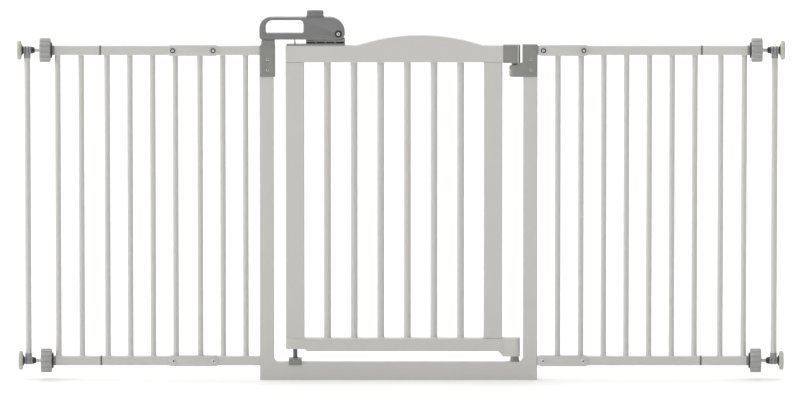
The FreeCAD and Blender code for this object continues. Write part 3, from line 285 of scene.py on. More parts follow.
# ------------------------------------------------------------------ what a user would change
class GateSizes(bpy.types.PropertyGroup):
    """Sizes of the finishing details, in millimetres."""

    edge_ease: bpy.props.FloatProperty(
        name="Edge ease", description="Width of the rounding on moulded and cut edges, in mm",
        default=0.45, min=0.05)
    sheet_ease: bpy.props.FloatProperty(
        name="Sheet edge ease", description="Width of the rounding on sheet-metal edges, in mm",
        default=0.25, min=0.05)
    bead_height: bpy.props.FloatProperty(
        name="Weld bead height", description="How far a weld bead climbs a bar, in mm",
        default=1.7, min=0.2)
    bead_width: bpy.props.FloatProperty(
        name="Weld bead width", description="How far a weld bead spreads on a rail, in mm",
        default=1.5, min=0.2)
    flutes: bpy.props.IntProperty(
        name="Wheel flutes", description="Finger flutes round each tension wheel",
        default=14, min=6)
    flute_depth: bpy.props.FloatProperty(
        name="Flute depth", description="Depth of a finger flute, in mm",
        default=2.4, min=0.2)
    flute_radius: bpy.props.FloatProperty(
        name="Flute radius", description="Radius of the hollow of a flute, in mm",
        default=3.9, min=0.5)
    thread_pitch: bpy.props.FloatProperty(
        name="Thread pitch", description="Pitch of the tension bolts, in mm",
        default=2.0, min=0.3)
    thread_depth: bpy.props.FloatProperty(
        name="Thread depth", description="Depth of the bolts' thread, in mm",
        default=0.7, min=0.1)
    button_ribs: bpy.props.IntProperty(
        name="Button ribs", description="Grip ribs on top of the release button",
        default=5, min=1)


class GateColours(bpy.types.PropertyGroup):
    """Main colours of the gate."""

    coat: bpy.props.FloatVectorProperty(
        name="Powder coat", description="White coat of all tubes", subtype="COLOR", size=4,
        default=linear("#C2C1BF"))
    handle: bpy.props.FloatVectorProperty(
        name="Handle", description="Lift handle and button", subtype="COLOR", size=4,
        default=linear("#767678"))
    bracket: bpy.props.FloatVectorProperty(
        name="Brackets", description="Moulded brackets on the posts", subtype="COLOR", size=4,
        default=linear("#82827F"))
    wheel: bpy.props.FloatVectorProperty(
        name="Wheels", description="Tension wheels", subtype="COLOR", size=4,
        default=linear("#9C9C9A"))
    pad: bpy.props.FloatVectorProperty(
        name="Wall pads", description="Rubber wall pads", subtype="COLOR", size=4,
        default=linear("#B2B3AC"))


def sizes():
    """The size settings of the open scene."""
    return bpy.context.scene.gate_sizes


def colours():
    """The colour settings of the open scene."""
    return bpy.context.scene.gate_colours


# ------------------------------------------------------------------ finishes
def add_node(tree, kind, settings=None, links=None):
    """Adds a shader node, fills its properties or sockets and wires its inputs."""
    node = tree.nodes.new(kind)
    for name, value in (settings or {}).items():
        if isinstance(name, str) and hasattr(node, name):
            setattr(node, name, value)
        else:
            node.inputs[name].default_value = value
    for name, source in (links or {}).items():
        tree.links.new(source, node.inputs[name])
    return node


def start_finish(name, colour, roughness, metallic=0.0, **sockets):
    """New material with its shader; returns the material, its tree and the shader."""
    material = bpy.data.materials.new(name)
    material.use_nodes = True
    material.diffuse_color = colour
    tree = material.node_tree
    shader = tree.nodes["Principled BSDF"]
    shader.inputs["Base Color"].default_value = colour
    shader.inputs["Roughness"].default_value = roughness
    shader.inputs["Metallic"].default_value = metallic
    for socket, value in sockets.items():
        shader.inputs[socket.replace("_", " ")].default_value = value
    return material, tree, shader


def shade(colour, factor):
    """Colour made lighter or darker by a factor."""
    return [min(1.0, channel * factor) for channel in colour[:3]] + [1.0]


def mottle(tree, shader, colour, patch_mm, spread, roughness, rough_spread):
    """Slow drift of tone and gloss over a surface, with patches of about patch_mm."""
    place = add_node(tree, "ShaderNodeTexCoord")
    noise = add_node(tree, "ShaderNodeTexNoise",
                     {"Scale": 1 / (patch_mm * MM), "Detail": 4.0, "Roughness": 0.55},
                     {"Vector": place.outputs["Object"]})
    tone = add_node(tree, "ShaderNodeMix", {"data_type": "RGBA", 6: shade(colour, 1 - spread),
                                            7: shade(colour, 1 + spread)}, {0: noise.outputs["Fac"]})
    gloss = add_node(tree, "ShaderNodeMapRange",
                     {"To Min": roughness - rough_spread, "To Max": roughness + rough_spread},
                     {"Value": noise.outputs["Fac"]})
    tree.links.new(tone.outputs[2], shader.inputs["Base Color"])
    tree.links.new(gloss.outputs["Result"], shader.inputs["Roughness"])
    return place, tone


def emboss(tree, shader, place, grain_mm, depth_mm, strength, detail=2.0):
    """Fine relief of a moulded or sprayed surface."""
    noise = add_node(tree, "ShaderNodeTexNoise", {"Scale": 1 / (grain_mm * MM), "Detail": detail},
                     {"Vector": place.outputs["Object"]})
    bump = add_node(tree, "ShaderNodeBump", {"Strength": strength, "Distance": depth_mm * MM},
                    {"Height": noise.outputs["Fac"]})
    tree.links.new(bump.outputs["Normal"], shader.inputs["Normal"])
    return noise


def skinned(name, colour, roughness, patch_mm, tone_drift, gloss_drift, grain_mm, relief_mm, strength,
            detail=2.0, **sockets):
    """Material with drifting tone and gloss and a fine relief, its tree, shader, place and tone."""
    material, tree, shader = start_finish(name, colour, roughness, **sockets)
    place, tone = mottle(tree, shader, colour, patch_mm, tone_drift, roughness, gloss_drift)
    emboss(tree, shader, place, grain_mm, relief_mm, strength, detail)
    return material, tree, shader, place, tone


def powder_coated_steel():
    """Epoxy-polyester powder baked on steel tube: a satin white skin with a faint orange peel."""
    # The coat levels as it melts, so its gloss is even and only the 2 mm waves of the peel bend a highlight.
    return skinned("powder_coated_steel", list(colours().coat), roughness=0.36, patch_mm=70, tone_drift=0.012,
                   gloss_drift=0.03, grain_mm=2.2, relief_mm=0.03, strength=0.35, IOR=1.5)[0]


def white_moulded_abs():
    """White injection-moulded ABS: duller than the coat beside it, with a dry grain."""
    # Spark-eroded grain is 0.2 mm across; it is drawn at 0.7 mm so that it shows.
    return skinned("white_moulded_abs", linear("#C6C5C1"), roughness=0.48, patch_mm=30, tone_drift=0.015,
                   gloss_drift=0.04, grain_mm=0.7, relief_mm=0.02, strength=0.4, IOR=1.53)[0]


def grained_bracket_abs():
    """Grey ABS from a spark-eroded mould: even tone, broad soft highlights and a dry grain."""
    # The grain is 0.25 mm across; it is drawn at 0.8 mm so that it shows.
    return skinned("grained_bracket_abs", list(colours().bracket), roughness=0.36, patch_mm=22,
                   tone_drift=0.03, gloss_drift=0.05, grain_mm=0.8, relief_mm=0.04, strength=0.5, IOR=1.53)[0]


def satin_handle_abs():
    """Grey ABS polished where hands go: smoother than the brackets, so edges carry a thin clear highlight."""
    # The polish leaves waves of about 1 mm that only soften the highlight.
    return skinned("satin_handle_abs", list(colours().handle), roughness=0.38, patch_mm=35, tone_drift=0.025,
                   gloss_drift=0.05, grain_mm=1.0, relief_mm=0.02, strength=0.3, IOR=1.53)[0]


def fluted_wheel_abs():
    """Mid-grey ABS of the hand wheels, lighter on the proud edges of the lands between flutes: wear and a
    painted edge highlight.
    """
    colour = list(colours().wheel)
    material, tree, shader, _, tone = skinned(
        "fluted_wheel_abs", colour, roughness=0.42, patch_mm=14, tone_drift=0.03, gloss_drift=0.05,
        grain_mm=0.9, relief_mm=0.03, strength=0.35, IOR=1.53)
    # Proud edges are made lighter where a mesh's pointiness finds them: finger wear, and a painted highlight
    # along the edges.
    edge = add_node(tree, "ShaderNodeNewGeometry")
    edge_wear_and_highlight = add_node(tree, "ShaderNodeMapRange",
                    {"From Min": 0.5, "From Max": 0.62, "To Min": 0.0, "To Max": 0.5},
                    {"Value": edge.outputs["Pointiness"]})
    worn_and_lit = add_node(tree, "ShaderNodeMix", {"data_type": "RGBA", 7: shade(colour, EDGE_WEAR_AND_HIGHLIGHT_GAIN)},
                    {0: edge_wear_and_highlight.outputs["Result"], 6: tone.outputs[2]})
    tree.links.new(worn_and_lit.outputs[2], shader.inputs["Base Color"])
    return material


def clip_nylon():
    """Grey nylon of the rod clips: waxy and soft in its highlights."""
    # A little light enters nylon, so its edges never look quite hard.
    return skinned("clip_nylon", linear("#8F8F8F"), roughness=0.46, patch_mm=10, tone_drift=0.03,
                   gloss_drift=0.04, grain_mm=0.8, relief_mm=0.02, strength=0.3, IOR=1.53,
                   Subsurface_Weight=0.04)[0]


def dark_nylon():
    """Glass-filled nylon, dark grey: fibres near the skin make fine flow streaks and dull the gloss."""
    material, tree, shader, place, tone = skinned(
        "dark_nylon", linear("#6C6C6A"), roughness=0.55, patch_mm=12, tone_drift=0.05, gloss_drift=0.05,
        grain_mm=0.9, relief_mm=0.03, strength=0.4, IOR=1.53)
    # Fibre streaks are 0.3 mm apart; they are drawn at 0.9 mm, a sixth of their length, so that they show.
    stretch = add_node(tree, "ShaderNodeMapping", {"Scale": (1.0, STREAK_STRETCH, STREAK_STRETCH)},
                       {"Vector": place.outputs["Object"]})
    streak = add_node(tree, "ShaderNodeTexNoise", {"Scale": 1 / (STREAK_LENGTH * MM), "Detail": 3.0},
                      {"Vector": stretch.outputs["Vector"]})
    mix = add_node(tree, "ShaderNodeMix", {"data_type": "RGBA", "blend_type": "MULTIPLY", 0: STREAK_SHARE},
                   {6: tone.outputs[2], 7: streak.outputs["Color"]})
    tree.links.new(mix.outputs[2], shader.inputs["Base Color"])
    return material


def black_acetal():
    """Black moulded acetal of the stems and thrust discs: slippery, with a low soft sheen."""
    # The mould's fine grain is drawn at 0.8 mm so that it shows.
    return skinned("black_acetal", linear("#2A2A2B"), roughness=0.44, patch_mm=9, tone_drift=0.06,
                   gloss_drift=0.05, grain_mm=0.8, relief_mm=0.02, strength=0.3, IOR=1.48)[0]


def grey_pad_rubber():
    """Soft grey-green rubber: no clear highlight, a dusty bloom and a pebbled skin."""
    # The bloom is a thin sheen, and the pebbles are 1.1 mm across.
    return skinned("grey_pad_rubber", list(colours().pad), roughness=0.8, patch_mm=8, tone_drift=0.05,
                   gloss_drift=0.06, grain_mm=1.1, relief_mm=0.08, strength=0.6, detail=4.0, IOR=1.52,
                   Sheen_Weight=0.15)[0]


def bright_zinc_plate():
    """Blue-passivated zinc on steel: a bright grey metal with faint blue and straw clouds."""
    # Barrel plating dulls the metal, so it gathers light from the whole tent instead of mirroring one part.
    material, tree, shader, place, tone = skinned(
        "bright_zinc_plate", linear("#E6E8EB"), roughness=0.55, patch_mm=6, tone_drift=0.06, gloss_drift=0.08,
        grain_mm=0.6, relief_mm=0.01, strength=0.25, metallic=1.0)
    cloud = add_node(tree, "ShaderNodeTexNoise", {"Scale": 1 / (CLOUD_SIZE * MM), "Detail": 2.0},
                     {"Vector": place.outputs["Object"]})
    tint = add_node(tree, "ShaderNodeMix", {"data_type": "RGBA", 6: linear("#DCE4F0"), 7: linear("#EFE9DA")},
                    {0: cloud.outputs["Fac"]})
    mix = add_node(tree, "ShaderNodeMix", {"data_type": "RGBA", "blend_type": "MULTIPLY", 0: CLOUD_SHARE},
                   {6: tone.outputs[2], 7: tint.outputs[2]})
    tree.links.new(mix.outputs[2], shader.inputs["Base Color"])
    return material


def drawn_spring_wire():
    """Hard-drawn steel wire: grey and oiled, with fine marks from the die."""
    # Die marks are far finer than the 0.4 mm grain that is drawn.
    return skinned("drawn_spring_wire", linear("#8B8E92"), roughness=0.34, patch_mm=4, tone_drift=0.08,
                   gloss_drift=0.08, grain_mm=0.4, relief_mm=0.01, strength=0.3, metallic=1.0)[0]


def pale_studio_floor():
    """Matt pale paper floor."""
    colour = linear("#FBFBF9")
    material, tree, shader = start_finish("pale_studio_floor", colour, 0.9, Specular_IOR_Level=0.1)
    mottle(tree, shader, colour, 400, 0.004, 0.9, 0.02)
    return material


FINISHES = {
    "white_paint": powder_coated_steel,
    "white_plastic": white_moulded_abs,
    "grey_plastic": grained_bracket_abs,
    "handle_grey": satin_handle_abs,
    "dark_plastic": dark_nylon,
    "black_plastic": black_acetal,
    "wheel_grey": fluted_wheel_abs,
    "pad_rubber": grey_pad_rubber,
    "zinc_steel": bright_zinc_plate,
    "spring_steel": drawn_spring_wire,
}


def made(maker):
    """The material that a function makes, made once."""
    return bpy.data.materials.get(maker.__name__) or maker()


def finish_for(slot):
    """The material of a slot."""
    return made(FINISHES[slot])


# ------------------------------------------------------------------ modelling by hand, in code
def deselect():
    """Leaves edit mode and clears the selection."""
    if bpy.context.mode != "OBJECT":
        bpy.ops.object.mode_set(mode="OBJECT")
    bpy.ops.object.select_all(action="DESELECT")


def activate(piece):
    """Makes one object the only selected and the active one."""
    deselect()
    piece.hide_viewport = False
    piece.select_set(True)
    bpy.context.view_layer.objects.active = piece


def added(name):
    """Names the primitive that was just added."""
    piece = bpy.context.object
    piece.name = name
    piece.data.name = name
    return piece


def settle(piece):
    """Puts a piece's place and turn into its mesh."""
    activate(piece)
    bpy.ops.object.transform_apply(location=True, rotation=True, scale=True)
    return piece


def apply_modifier(piece, kind, **settings):
    """Adds one modifier to a piece and applies it."""
    activate(piece)
    modifier = piece.modifiers.new(kind.lower(), kind)
    for name, value in settings.items():
        setattr(modifier, name, value)
    bpy.ops.object.modifier_apply(modifier=modifier.name)
    return piece


def ease(piece, width_mm, segments=2, angle=38.0):
    """Rounds a piece's sharp edges and shades it smooth up to that angle."""
    apply_modifier(piece, "BEVEL", width=width_mm * MM, segments=segments, limit_method="ANGLE",
                   angle_limit=math.radians(angle), use_clamp_overlap=True)
    smooth(piece)
    return piece


def smooth(piece, angle=32.0):
    """Smooth shading, kept sharp at real edges."""
    activate(piece)
    bpy.ops.object.shade_smooth_by_angle(angle=math.radians(angle), keep_sharp_edges=False)
    return piece


def outward(piece):
    """Turns every face of a closed piece outwards."""
    activate(piece)
    bpy.ops.object.mode_set(mode="EDIT")
    bpy.ops.mesh.select_all(action="SELECT")
    bpy.ops.mesh.remove_doubles(threshold=MERGE_DISTANCE)
    bpy.ops.mesh.normals_make_consistent(inside=False)
    bpy.ops.object.mode_set(mode="OBJECT")
    return piece


def block(name, low, high):
    """Cube stretched between two corners."""
    deselect()
    low = Vector(low)
    high = Vector(high)
    bpy.ops.mesh.primitive_cube_add(size=1.0, location=(low + high) / 2)
    piece = added(name)
    bpy.ops.transform.resize(value=high - low)
    return settle(piece)


def turned(name, centre, direction, profile, sides=48, ring=False):
    """Piece turned about a line: a disc drawn out ring by ring to the profile's (distance, radius) steps.

    A ring has a bore, so its profile is a closed loop and its last step meets the first.
    """
    deselect()
    direction = Vector(direction)
    centre = Vector(centre)
    place, radius = profile[0]
    turn = Vector((0, 0, 1)).rotation_difference(direction).to_euler()
    bpy.ops.mesh.primitive_circle_add(vertices=sides, radius=radius, fill_type="NOTHING" if ring else "NGON",
                                      location=centre + direction * place, rotation=turn)
    piece = settle(added(name))
    bpy.ops.object.mode_set(mode="EDIT")
    bpy.ops.mesh.select_all(action="SELECT")
    for distance, reach in profile[1:] + (profile[:1] if ring else []):
        bpy.ops.mesh.extrude_region_move(TRANSFORM_OT_translate={"value": direction * (distance - place)})
        scale = reach / radius
        bpy.ops.transform.resize(value=[1 + (scale - 1) * (1 - abs(part)) for part in direction],
                                 center_override=centre + direction * distance)
        place, radius = distance, reach
    bpy.ops.object.mode_set(mode="OBJECT")
    return outward(piece)


def join(name, pieces):
    """Joins pieces into one object."""
    deselect()
    for piece in pieces:
        piece.select_set(True)
    bpy.context.view_layer.objects.active = pieces[0]
    if len(pieces) > 1:
        bpy.ops.object.join()
    return added(name)


def copies(piece, moves):
    """The piece and one copy of it, with its own mesh, for each further move."""
    made = [piece]
    for move in moves[1:]:
        activate(piece)
        bpy.ops.object.duplicate(linked=False)
        copy = bpy.context.object
        bpy.ops.transform.translate(value=move - moves[0])
        made.append(settle(copy))
    return made


def cut(piece, cutter):
    """Takes the cutter's shape out of a piece."""
    apply_modifier(piece, "BOOLEAN", object=cutter, operation="DIFFERENCE", solver="EXACT")
    bpy.data.objects.remove(cutter)
    return piece


def solids_of(node):
    """Box of every separate solid in a CAD node, as (low, high), sorted by place."""
    mesh = bmesh.new()
    mesh.from_mesh(frame["nodes"][node].data)
    bmesh.ops.remove_doubles(mesh, verts=mesh.verts, dist=MERGE_DISTANCE)
    left = set(mesh.verts)
    boxes = []
    while left:
        edge = [left.pop()]
        found = []
        while edge:
            vertex = edge.pop()
            found.append(vertex.co.copy())
            for link in vertex.link_edges:
                other = link.other_vert(vertex)
                if other in left:
                    left.remove(other)
                    edge.append(other)
        boxes.append((Vector([min(p[k] for p in found) for k in range(3)]),
                      Vector([max(p[k] for p in found) for k in range(3)])))
    mesh.free()
    return sorted(boxes, key=lambda pair: [round(value, 4) for value in pair[0]])


def copied(node, name):
    """Copy of a CAD node with its loose triangles merged into whole faces."""
    source = frame["nodes"][node]
    activate(source)
    bpy.ops.object.duplicate(linked=False)
    piece = added(name)
    bpy.ops.object.parent_clear(type="CLEAR")
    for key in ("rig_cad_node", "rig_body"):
        del piece[key]
    bpy.ops.mesh.customdata_custom_splitnormals_clear()
    bpy.ops.object.mode_set(mode="EDIT")
    bpy.ops.mesh.select_all(action="SELECT")
    bpy.ops.mesh.remove_doubles(threshold=MERGE_DISTANCE)
    bpy.ops.mesh.dissolve_limited(angle_limit=FLAT_ANGLE)
    bpy.ops.object.mode_set(mode="OBJECT")
    return piece


def wear_finish(piece, material):
    """Gives a piece one material."""
    piece.data.materials.clear()
    piece.data.materials.append(material)


def install(piece, node, material=None, stands_for=True, slot=None):
    """Puts a finished piece on its node's body, with the node's finish or another slot's."""
    slot = slot or slot_of(node)
    wear_finish(piece, material or finish_for(slot))
    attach(piece, body_of(node))
    if stands_for:
        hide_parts(node)
    return piece


def refine(node, name, width_mm, segments=2, material=None):
    """Stands a cleaned copy with eased edges in a CAD node's place."""
    return install(ease(copied(node, name), width_mm, segments), node, material)


def fit(*nodes):
    """Stands the cleaned piece of every named node in its place."""
    for node in nodes:
        refine(node, *FITTINGS[node])


# ------------------------------------------------------------------ pieces
def scaled(profile, length, radius, start=0.0):
    """Turning profile given in shares of a length and a radius, in metres."""
    return [(start + place * length, reach * radius) for place, reach in profile]


def steps(profile, start=0.0):
    """Turning profile given in millimetres from a start, in metres."""
    return [(start + place * MM, reach * MM) for place, reach in profile]


def middle_of(corners):
    """Middle of a box."""
    return (corners[0] + corners[1]) / 2


def reach_in_x(corners):
    """Inner and outer distance of a box from the gate's middle."""
    return sorted(abs(corner.x) for corner in corners)


def lines_along_x(node):
    """Centre line of each solid of a node that lies along X."""
    return [Vector((0, 0, middle_of(corners).z)) for corners in solids_of(node)]


def weld_bead(name, foot, direction, bar_radius):
    """Fillet weld round a bar, with the slight ripple of a hand-fed torch."""
    rise = sizes().bead_height * MM
    spread = sizes().bead_width * MM
    root = bar_radius - BEAD_ROOT
    profile = [(rise * up, bar_radius + spread * out) for up, out in BEAD_STEPS]
    bead = turned(name, foot, direction, [(0.0, root)] + profile + [(rise, root)], sides=40, ring=True)
    line = Vector(foot).xy
    for vertex in bead.data.vertices:
        across = vertex.co.xy - line
        reach = across.length
        if reach > bar_radius:
            angle = math.atan2(across.y, across.x)
            ripple = 1 + sum(height * math.sin(count * angle + turn) for height, count, turn in BEAD_RIPPLES)
            vertex.co.xy = line + across * ((bar_radius + (reach - bar_radius) * ripple) / reach)
    return smooth(bead, SOFT_ANGLE)


def bar_welds(nodes, name):
    """Weld beads at both ends of every bar of some nodes, on one body."""
    beads = []
    for node in nodes:
        bars = solids_of(node)
        radius = (bars[0][1].y - bars[0][0].y) / 2
        for end, direction in ((0, (0, 0, 1)), (1, (0, 0, -1))):
            feet = [Vector((middle_of(bar).x, 0, bar[end].z)) for bar in bars]
            beads += copies(weld_bead(name, feet[0], direction, radius), feet)
    return install(join(name, beads), nodes[0], stands_for=False)


def corner_welds():
    """Dressed welds that close the grooves between the posts and the threshold."""
    low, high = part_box("left_post")
    bottom = low.z + WELD_LIFT
    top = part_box("threshold_bar")[1].z - WELD_DROP
    fills = []
    for side, x in ((-1, high.x), (1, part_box("right_post")[0].x)):
        for face in (-1, 1):
            y = face * high.y
            fill = block("fill", (x - WELD_REACH, y - WELD_DEPTH, bottom),
                         (x + WELD_REACH, y + WELD_DEPTH, top))
            for vertex in fill.data.vertices:
                if vertex.co.y * face > abs(y):
                    vertex.co.y = y + face * WELD_PROUD
                if (vertex.co.x - x) * side < 0:
                    vertex.co.x = x - side * WELD_OVERLAP
            fills.append(outward(fill))
    return install(join("corner_welds", fills), "threshold_bar", stands_for=False)


def flute_radius_at(angle, rim):
    """Radius of the fluted rim at an angle, its edges blended."""
    hollow = sizes().flute_radius * MM
    centre = rim + hollow - sizes().flute_depth * MM
    pitch = 2 * math.pi / sizes().flutes
    offset = (angle % pitch) - pitch / 2
    sideways = centre * math.sin(offset)
    if abs(sideways) >= hollow:
        return rim
    near = centre * math.cos(offset) - math.sqrt(hollow ** 2 - sideways ** 2)
    if near >= rim:
        return rim
    return near - math.log(math.exp(-FLUTE_SHARPNESS * (rim - near)) + 1.0) / FLUTE_SHARPNESS


def tension_wheel(side, level):
    """Fluted hand wheel with dished faces."""
    node = f"{side}_{level}_wheel"
    low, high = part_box(node)
    middle = middle_of((low, high))
    rim = (high.z - low.z) / 2
    width = high.x - low.x
    face = steps(WHEEL_HUB_STEPS) + [(deep * MM, rim - inset * MM) for deep, inset in WHEEL_RIM_STEPS]
    profile = face + [(width - place, radius) for place, radius in reversed(face)]
    wheel = turned(node + "_body", (low.x, middle.y, middle.z), (1, 0, 0), profile,
                   sides=sizes().flutes * SIDES_PER_FLUTE, ring=True)
    for vertex in wheel.data.vertices:
        across = Vector((vertex.co.y - middle.y, vertex.co.z - middle.z))
        reach = across.length
        share = max(0.0, min(1.0, (reach - rim + FLUTE_BAND) / (FLUTE_BAND * FLUTE_FADE)))
        if share > 0:
            loss = (rim - flute_radius_at(math.atan2(across.x, across.y), rim)) * share
            across *= (reach - loss) / reach
            vertex.co.y = middle.y + across.x
            vertex.co.z = middle.z + across.y
    return install(ease(wheel, width_mm=0.35, angle=30), node)


def cut_thread(bolt, line, radius, sign, start, end):
    """Draws the rings of a bolt in to a helix between two distances."""
    pitch = sizes().thread_pitch * MM
    depth = sizes().thread_depth * MM
    for vertex in bolt.data.vertices:
        distance = abs(vertex.co.x)
        if start <= distance <= end:
            across = Vector((vertex.co.y, vertex.co.z - line.z))
            turn = math.atan2(across.y, across.x) / (2 * math.pi) * sign
            phase = (distance / pitch - turn) % 1.0
            crest = min(1.0, max(0.0, CREST_SLOPE * abs(phase - 0.5) - CREST_ROOT))
            across *= (radius - depth * (1 - crest)) / across.length
            vertex.co.y = across.x
            vertex.co.z = line.z + across.y


def tension_bolts(side):
    """Bolts with a true helical thread where it can show, plain inside the rail."""
    node = f"{side}_adjuster_bolts"
    pitch = sizes().thread_pitch * MM
    depth = sizes().thread_depth * MM
    wheel_start, wheel_end = reach_in_x(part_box(f"{side}_top_wheel"))
    start = wheel_start + THREAD_IN_WHEEL * (wheel_end - wheel_start)
    end = reach_in_x(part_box(f"{side}_pad_stems"))[0] + pitch
    low, high = solids_of(node)[0]
    radius = (high.y - low.y) / 2
    inner, outer = reach_in_x((low, high))
    count = int((end - start) / pitch * RINGS_PER_TURN)
    profile = [(inner, radius - depth), (inner + depth, radius), (start - pitch, radius)]
    profile += [(start + k * pitch / RINGS_PER_TURN, radius) for k in range(count + 1)] + [(outer, radius)]
    lines = lines_along_x(node)
    bolt = turned(node + "_thread", lines[0], (SIGNS[side], 0, 0), profile, sides=32)
    cut_thread(bolt, lines[0], radius, SIGNS[side], start, end)
    return install(smooth(join(node + "_threaded", copies(bolt, lines)), angle=50), node)


def pad_stems(side):
    """Black stems: a nose cone, the groove for the clip and a flared foot behind the pad."""
    node = f"{side}_pad_stems"
    clip_start, clip_end = reach_in_x(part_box(f"{side}_rod_clips"))
    low, high = solids_of(node)[0]
    start, end = reach_in_x((low, high))
    foot = (high.z - low.z) / 2
    profile = steps(STEM_NOSE, start) + steps(STEM_CONE, clip_start) + steps(STEM_SHOULDER, clip_end)
    profile += [(end + place * MM, foot * share) for place, share in STEM_FOOT]
    lines = lines_along_x(node)
    stem = turned(node + "_one", lines[0], (SIGNS[side], 0, 0), profile, sides=48)
    return install(ease(join(node + "_turned", copies(stem, lines)), width_mm=0.25, angle=30), node)


def wall_pads(side):
    """Rubber pads with a soft lip and three ring grooves in the face."""
    node = f"{side}_wall_pads"
    low, high = solids_of(node)[0]
    start, end = reach_in_x((low, high))
    profile = scaled(PAD_STEPS, end - start, (high.z - low.z) / 2, start)
    for radius in PAD_GROOVES:
        profile += steps([(deep, radius + out) for deep, out in GROOVE_STEPS], end)
    lines = lines_along_x(node)
    pad = turned(node + "_one", lines[0], (SIGNS[side], 0, 0), profile, sides=64)
    return install(ease(join(node + "_moulded", copies(pad, lines)), width_mm=0.3, angle=40), node)


def clip_bands(side):
    """Two thin dark bands round each rod clip."""
    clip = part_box(f"{side}_rod_clips")
    middle = sum(reach_in_x(clip)) / 2
    lines = lines_along_x(f"{side}_pad_stems")
    bands = []
    for shift in (-BAND_SHIFT, BAND_SHIFT):
        profile = [(middle + shift + place * MM, clip[1].y + proud * MM) for place, proud in BAND_STEPS]
        bands.append(turned("band", lines[0], (SIGNS[side], 0, 0), profile, sides=40, ring=True))
    pair = smooth(join("band_pair", bands))
    return install(join(f"{side}_clip_bands", copies(pair, lines)), f"{side}_rod_clips", stands_for=False,
                   slot="black_plastic")


def cross(name, place, radius, shares, near, far):
    """Two crossed bars seen from the front, as long and wide as two shares of a radius."""
    arm, slot = [radius * share for share in shares]
    return [block(name, (place.x - across, near, place.z - up), (place.x + across, far, place.z + up))
            for across, up in ((arm, slot), (slot, arm))]


def pan_screw(place, front, radius, height):
    """Pan-head screw seen from the front, with a cross recess."""
    screw = turned("head", (place.x, front, place.z), (0, -1, 0), scaled(PAN_STEPS, height, radius), sides=40)
    near = front - height * RECESS_TOP
    for bar in cross("recess", place, radius, RECESS_SHARES, near, front - height * RECESS_BOTTOM):
        cut(screw, bar)
    return ease(screw, width_mm=0.12, angle=35)


def joint_screw_marks(name, piece, places):
    """Black detail repeated on the heads of some joint screws."""
    return install(join(name, copies(piece, places)), "joint_screws", stands_for=False, slot="black_plastic")


def joint_screw_heads(boxes):
    """Pan heads in front, a black cross in the recess of the lower ones as painted shade, and a black ring
    round the upper ones as a painted dark reflection on their rims.
    """
    low, high = boxes[0]
    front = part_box("joint_plates")[0].y
    radius = (high.z - low.z) / 2
    height = front - low.y
    places = [middle_of(corners) for corners in boxes]
    heads = copies(pan_screw(places[0], front, radius, height), places)
    places.sort(key=lambda place: place.z)
    lower = [place for place in places if place.z < cad_box[1].z / 2]
    upper = [place for place in places if place.z > cad_box[1].z / 2]
    # A black cross down in the recess paints the shade of the lower heads' cross recesses.
    near = front - height * RECESS_FLOOR_AT
    floors = cross("floor", lower[0], radius, RECESS_FLOOR_SHARES, near, near + RECESS_FLOOR_DEPTH)
    joint_screw_marks("joint_screw_recess_shade", join("floor", floors), lower)
    # A black ring paints the dark reflection round the rims of the upper heads.
    ring = turned("ring", (upper[0].x, front, upper[0].z), (0, -1, 0),
                  scaled(RING_STEPS, height * RING_HEIGHT, radius * RING_RADIUS), sides=40, ring=True)
    joint_screw_marks("joint_screw_rim_reflection", ring, upper)
    return heads


def joint_screw_nuts(boxes):
    """Hexagon nuts at the back, each with the end of its screw."""
    low, high = boxes[0]
    middle = middle_of((low, high))
    thickness = high.y - low.y
    deselect()
    bpy.ops.mesh.primitive_cylinder_add(vertices=6, radius=(high.x - low.x) / 2, depth=thickness,
                                        rotation=(math.pi / 2, 0, 0), location=middle)
    nut = ease(settle(added("nut")), width_mm=0.5, angle=30)
    profile = [(0, SCREW_END)] + steps(SCREW_END_STEPS, thickness)
    end = turned("end", (middle.x, low.y, middle.z), (0, 1, 0), profile, sides=24)
    return copies(join("nut_end", [nut, end]), [middle_of(corners) for corners in boxes])


def joint_screws():
    """Every joint screw, with its head in front and its nut at the back."""
    boxes = solids_of("joint_screws")
    pieces = joint_screw_heads([corners for corners in boxes if corners[0].y < 0])
    pieces += joint_screw_nuts([corners for corners in boxes if corners[0].y >= 0])
    return install(smooth(join("joint_screw_set", pieces)), "joint_screws")


def bracket_screws():
    """Bracket screws: a bright dished head down in its recess, with a black hexagon on its face as painted
    shade of the socket.
    """
    node = "bracket_screws"
    boxes = solids_of(node)
    low, high = boxes[0]
    radius = (high.z - low.z) / 2
    places = [middle_of(corners) for corners in boxes]
    front = low.y - DISH_PROUD
    profile = [(deep * MM, radius * share) for deep, share in DISH_STEPS]
    profile = [(high.y - front, radius * DISH_SHANK)] + profile + [(0.0, DISH_EYE)]
    head = turned("head", (places[0].x, front, places[0].z), (0, 1, 0), profile, sides=36)
    # The black hexagon paints the shade of a deep drive socket.
    profile = [(deep * MM, radius * share) for deep, share in SOCKET_STEPS]
    socket = turned("socket", (places[0].x, front - SOCKET_PROUD, places[0].z), (0, 1, 0), profile, sides=6)
    install(ease(join("bracket_screw_set", copies(head, places)), width_mm=0.1, angle=35), node)
    install(join("bracket_screw_socket_shade", copies(socket, places)), node, stands_for=False,
            slot="black_plastic")


